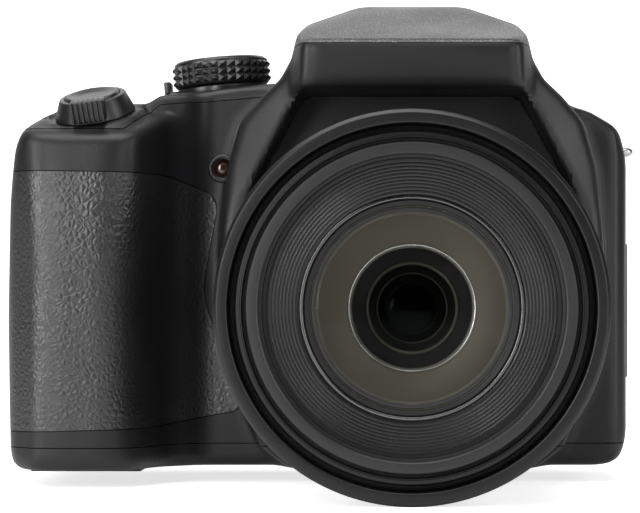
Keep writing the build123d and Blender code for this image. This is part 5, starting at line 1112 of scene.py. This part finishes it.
class CAMERA_OT_back(Operator):
    """Makes the screen, the finder's eyecup and the controls on the back"""
    bl_idname = "camera_kit.back"
    bl_label = "Back"

    def execute(self, context):
        sizes = context.scene.control_settings
        for name, (x, z) in SMALL_BUTTONS.items():
            knob(name + "_cap", [
                (0, 0.78), (1.9, 0.7), (2.9, 0.3), (2.9, -2.0), (3.7, -2.05), (3.7, -2.7), (0, -2.7)],
                 facing_back(x, z), name)
        place = facing_back(*PAD)
        knob("cursor_pad_ring", [
            (4.6, 0.3), (5.2, 0.75), (8.9, 1.2), (9.9, 1.1), (10.5, 0.5), (10.5, -2.0), (11.3, -2.05),
            (11.3, -2.7), (4.6, -2.7)], place, "cursor_pad", 0.3, 96, True)
        tick = block("cursor_pad_marks", (6.3, -0.5, 0.9), (7.4, 0.5, 1.05), 0.05)
        pattern(tick, "cursor_pad", "white_ink", place, 4, 1, 0.001)
        knob("set_button_cap", [
            (0, 0.5), (2.6, 0.6), (3.9, 0.8), (4.4, 0.4), (4.4, -2.7), (0, -2.7)], place, "set_button")

        place = Matrix.Translation((-52.5, 15.1, 61.5))
        knob("rear_dial_core", [
            (0, 3.8), (1.2, 3.8), (1.2, 1.8), (6.7, 1.8), (7.0, 1.5), (7.0, -1.5), (6.7, -1.8), (1.2, -1.8),
            (1.2, -3.8), (0, -3.8)], place, "rear_dial", 0.12)
        tooth = block("rear_dial_teeth", (-0.25, -0.5, -1.6), (0.5, 0.5, 1.6), 0.2)
        pattern(tooth, "rear_dial", "control_plastic", place, sizes.rear_teeth, 1, 6.95)

        place = facing_back(*DIOPTER)
        knob("diopter_core", [
            (0, 1.6), (2.9, 1.6), (3.3, 1.3), (3.3, -1.4), (1.2, -1.4), (1.2, -3.0), (0, -3.0)], place,
             "diopter_dial", 0.12)
        tooth = block("diopter_ribs", (-0.15, -0.28, -1.2), (0.26, 0.28, 1.3), 0.1)
        pattern(tooth, "diopter_dial", "control_plastic", place, 20, 1, 3.28)

        cup = rounded_plate("eyecup_soft", [
            (-18.5, 70, 4), (18.5, 70, 4), (18.5, 89.6, 4), (-18.5, 89.6, 4)], 20.0, 32.0, 1.4)
        throat = prism("throat", outline_points([(-14.5, 74, 1.5), (14.5, 74, 1.5), (14.5, 85.6, 1.5),
                                                 (-14.5, 85.6, 1.5)]), 15, 40)
        combine(cup, throat)
        settle(smooth(cup, 40), "camera", "eyecup_rubber", "eyecup_rubber", "eyecup")
        pane = rounded_plate("screen_pane_plate", [
            (-25, 7.5, 0.6), (42.5, 7.5, 0.6), (42.5, 61.5, 0.6), (-25, 61.5, 0.6)], 18.8, 20.0, 0.25)
        settle(pane, "camera", "screen_pane", "screen_glass", "screen_window")
        low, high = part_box("thumb_rest")
        left, right, foot, head = low.x / MM, high.x / MM, low.z / MM, high.z / MM
        rest = rounded_plate("thumb_rest_pad", [
            (left, foot, 1.6), (right - 2, foot, 2.2), (right - 0.2, head - 2, 3), (left, head, 2)], 19.9,
                             22.2, 0.9)
        settle(rest, "camera", "grip_elastomer", "grip_rubber", "thumb_rest")
        for name, finish in (("screen_panel", "screen_pane"), ("finder_tube", "inner_moulding"),
                             ("eyepiece_lens", "coated_glass")):
            dress(name, finish)
        return {"FINISHED"}


class CAMERA_OT_fittings(Operator):
    """Makes the lamp, the lugs, the side door and the flash button, and paints the other doors, the screws,
    the socket and the parts inside
    """
    bl_idname = "camera_kit.fittings"
    bl_label = "Fittings"

    def execute(self, context):
        place = Matrix(((1, 0, 0, LAMP_X), (0, 0, 1, 0), (0, -1, 0, LAMP_Z), (0, 0, 0, 1)))
        ring = turned("focus_lamp_ring", [
            (1.7, -18.2), (2.1, -19.0), (2.6, -19.0), (2.9, -18.7), (2.9, -16.0), (1.7, -16.0)], place,
                      soft=0.12, segments=64)
        settle(ring, "camera", "control_plastic", "lamp_lens", "focus_lamp")
        lens = turned("focus_lamp_lens", [
            (0, -18.5), (0.9, -18.38), (1.65, -17.9), (1.65, -16.0), (0, -16.0)], place, soft=0.1,
                      segments=48, closed=False)
        settle(lens, "camera", "amber_lens", "lamp_lens")
        lug_low, lug_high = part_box("strap_lugs")
        lugs = []
        for tip, way in ((lug_low.x / MM, -1), (lug_high.x / MM, 1)):
            curve = bpy.data.curves.new("lug", "CURVE")
            curve.dimensions = "3D"
            curve.bevel_depth = 0.8 * MM
            curve.bevel_resolution = 4
            line = curve.splines.new("POLY")
            root = tip - way * 5.4
            path = softened([(root, 6.5), (tip - way * 0.8, 6.5), (tip - way * 0.8, 13.5), (root, 13.5)],
                            1.1, 5, False)
            line.points.add(len(path) - 1)
            for point, (x, y) in zip(line.points, path):
                point.co = (x * MM, y * MM, LUG_HEIGHT * MM, 1)
            curve.use_fill_caps = True
            holder = link(bpy.data.objects.new("lug", curve))
            graph = bpy.context.evaluated_depsgraph_get()
            mesh = bpy.data.meshes.new_from_object(holder.evaluated_get(graph))
            discard(holder)
            lugs.append(link(bpy.data.objects.new("lug", mesh)))
        settle(joined("strap_lug_wires", lugs), "camera", "plated_steel", "steel", "strap_lugs")
        door = block("side_door_plate", (43.3, -8.0, 18), (44.66, 4.6, 46), 0.5)
        combine(door, block("finger_notch", (44.3, 2.6, 29), (46, 5, 35), 0.2))
        settle(smooth(door, 40), "side_door", "moulded_abs", "body_plastic", "side_door")
        knob("flash_button_cap", [
            (0, 1.2), (1.3, 1.1), (1.8, 0.7), (1.8, -3.8), (2.6, -3.85), (2.6, -4.5), (0, -4.5)],
             Matrix(((0, 0, -1, -23.53), (0, 1, 0, 9.0), (1, 0, 0, 83.0), (0, 0, 0, 1))), "flash_button",
             0.25, 48)
        for name, finish in (("flash_window", "prismatic_acrylic"), ("flash_pins", "plated_steel"),
                             ("tripod_socket", "plated_steel"), ("battery_door", "moulded_abs"),
                             ("battery_door_pin", "plated_steel"), ("battery_latch", "control_plastic"),
                             ("case_screws", "plated_steel"), ("socket_block", "inner_moulding"),
                             ("battery", "inner_moulding"), ("main_frame", "bare_sheet"),
                             ("circuit_boards", "solder_mask"), ("card_slot", "plated_steel"),
                             ("flash_capacitor", "inner_moulding")):
            dress(name, finish)
        return {"FINISHED"}


class CAMERA_OT_stage(Operator):
    """Makes the floor, the lights, the world and the camera"""
    bl_idname = "camera_kit.stage"
    bl_label = "Stage"

    def execute(self, context):
        stage = context.scene.stage_settings
        bends = [k * pi / 24 for k in range(13)]
        curve = [(500 + 300 * sin(bend), FLOOR_LEVEL + 300 * (1 - cos(bend))) for bend in bends]
        sweep = [(-900, FLOOR_LEVEL)] + curve + [(800, 1500)]
        verts = [(x, y, z) for x in (-1500, 1500) for y, z in sweep]
        count = len(sweep)
        faces = [[i, i + 1, count + i + 1, count + i] for i in range(count - 1)]
        mesh = bpy.data.meshes.new("floor")
        mesh.from_pydata([(x * MM, y * MM, z * MM) for x, y, z in verts], [], faces)
        floor = link(bpy.data.objects.new("floor", mesh))
        mesh.polygons.foreach_set("use_smooth", [True] * len(mesh.polygons))

        # Seamless paper: matt, plain white to the camera away from the object, and dimmer in reflections.
        tree, shader = finish_material("seamless_paper", Roughness=0.9, Base_Color=(*stage.floor, 1))
        mirrored = calculate(tree, "MULTIPLY", node(tree, "ShaderNodeLightPath").outputs["Is Glossy Ray"],
                             0.25)
        seen = calculate(tree, "MAXIMUM", seen_directly(tree), mirrored)
        where = node(tree, "ShaderNodeTexCoord")
        far = node(tree, "ShaderNodeVectorMath", {0: where.outputs["Object"]}, operation="LENGTH")
        fade = node(tree, "ShaderNodeMapRange", {0: far.outputs["Value"], 1: 0.25, 2: 0.6, 3: 0.72, 4: 1.0})
        level = calculate(tree, "MULTIPLY", seen, fade.outputs[0])
        glow = node(tree, "ShaderNodeEmission", {"Strength": level, "Color": (1, 1, 1, 1)})
        both = node(tree, "ShaderNodeAddShader", {0: shader.outputs[0], 1: glow.outputs[0]})
        out = [n for n in tree.nodes if n.type == "OUTPUT_MATERIAL"][0]
        tree.links.new(both.outputs[0], out.inputs["Surface"])
        paint(floor, "seamless_paper")

        world = bpy.data.worlds.new("studio")
        world.use_nodes = True
        tree = world.node_tree
        tree.nodes.clear()
        level = node(tree, "ShaderNodeMapRange", {0: seen_directly(tree), 3: 0.02, 4: 1.0})
        sky = node(tree, "ShaderNodeBackground", {"Color": (1, 1, 1, 1), "Strength": level.outputs[0]})
        node(tree, "ShaderNodeOutputWorld", {"Surface": sky.outputs[0]})
        context.scene.world = world

        for name, place, aim, size, power in (
                ("overhead", (-60, -120, 560), (0, -20, 40), (620, 420), stage.key * 0.45),
                ("rear_sky", (0, 560, 430), (0, -30, 88), (700, 200), stage.key * 0.06),
                ("left_strip", (-470, -330, 190), (-30, -30, 40), (160, 420), stage.side * 0.6),
                ("right_strip", (480, -260, 200), (20, -30, 40), (160, 420), stage.side * 0.35),
                ("front_left", (-250, -640, 230), (-20, -40, 40), (80, 420), stage.side * 0.5),
                ("front_right", (330, -600, 210), (20, -40, 40), (70, 400), stage.side * 0.22)):
            data = bpy.data.lights.new(name, "AREA")
            data.shape = "RECTANGLE"
            data.size, data.size_y = size[0] * MM, size[1] * MM
            data.energy = power
            lamp = link(bpy.data.objects.new(name, data))
            lamp.location = Vector(place) * MM
            lamp.rotation_euler = (Vector(aim) - Vector(place)).to_track_quat("-Z", "Y").to_euler()

        data = bpy.data.cameras.new("view")
        data.lens = stage.focal
        data.sensor_width = 36.0
        # The lens axis isn't in the middle of the photo, so the picture is shifted against it.
        data.shift_x, data.shift_y = -0.1438, 0.0805
        data.clip_start, data.clip_end = 0.02, 20.0
        view = link(bpy.data.objects.new("view", data))
        view.location = (0, -stage.distance, LENS_AXIS * MM)
        view.rotation_euler = (pi / 2, 0, 0)
        context.scene.camera = view
        context.scene.view_settings.view_transform = "Standard"
        return {"FINISHED"}


class CAMERA_PT_panel(Panel):
    """Lists the steps that dress the camera"""
    bl_label = "Bridge camera"
    bl_idname = "CAMERA_PT_panel"
    bl_space_type = "VIEW_3D"
    bl_region_type = "UI"
    bl_category = "Camera"

    def draw(self, context):
        scene = context.scene
        for group in ("cover_settings", "lens_settings", "control_settings", "finish_settings",
                      "stage_settings"):
            settings = getattr(scene, group)
            box = self.layout.box()
            for key in settings.bl_rna.properties.keys():
                if key not in ("rna_type", "name"):
                    box.prop(settings, key)
        for operator in OPERATORS:
            self.layout.operator(operator.bl_idname)


OPERATORS = (CAMERA_OT_covers, CAMERA_OT_lens, CAMERA_OT_controls, CAMERA_OT_back, CAMERA_OT_fittings,
             CAMERA_OT_stage)
SETTINGS = {"cover_settings": CoverSettings, "lens_settings": LensSettings,
            "control_settings": ControlSettings, "finish_settings": FinishSettings,
            "stage_settings": StageSettings}


def register():
    """Registers the classes and hangs the settings on the scene."""
    for group in SETTINGS.values():
        bpy.utils.register_class(group)
    for name, group in SETTINGS.items():
        setattr(bpy.types.Scene, name, PointerProperty(type=group))
    for item in OPERATORS + (CAMERA_PT_panel,):
        bpy.utils.register_class(item)


def unregister():
    """Takes the classes and the settings away again."""
    for item in reversed(OPERATORS + (CAMERA_PT_panel,)):
        bpy.utils.unregister_class(item)
    for name, group in SETTINGS.items():
        delattr(bpy.types.Scene, name)
        bpy.utils.unregister_class(group)


def main():
    """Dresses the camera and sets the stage."""
    register()
    bpy.ops.camera_kit.covers()
    bpy.ops.camera_kit.lens()
    bpy.ops.camera_kit.controls()
    bpy.ops.camera_kit.back()
    bpy.ops.camera_kit.fittings()
    bpy.ops.camera_kit.stage()
    bpy.context.view_layer.update()


if __name__ == "__main__":
    main()
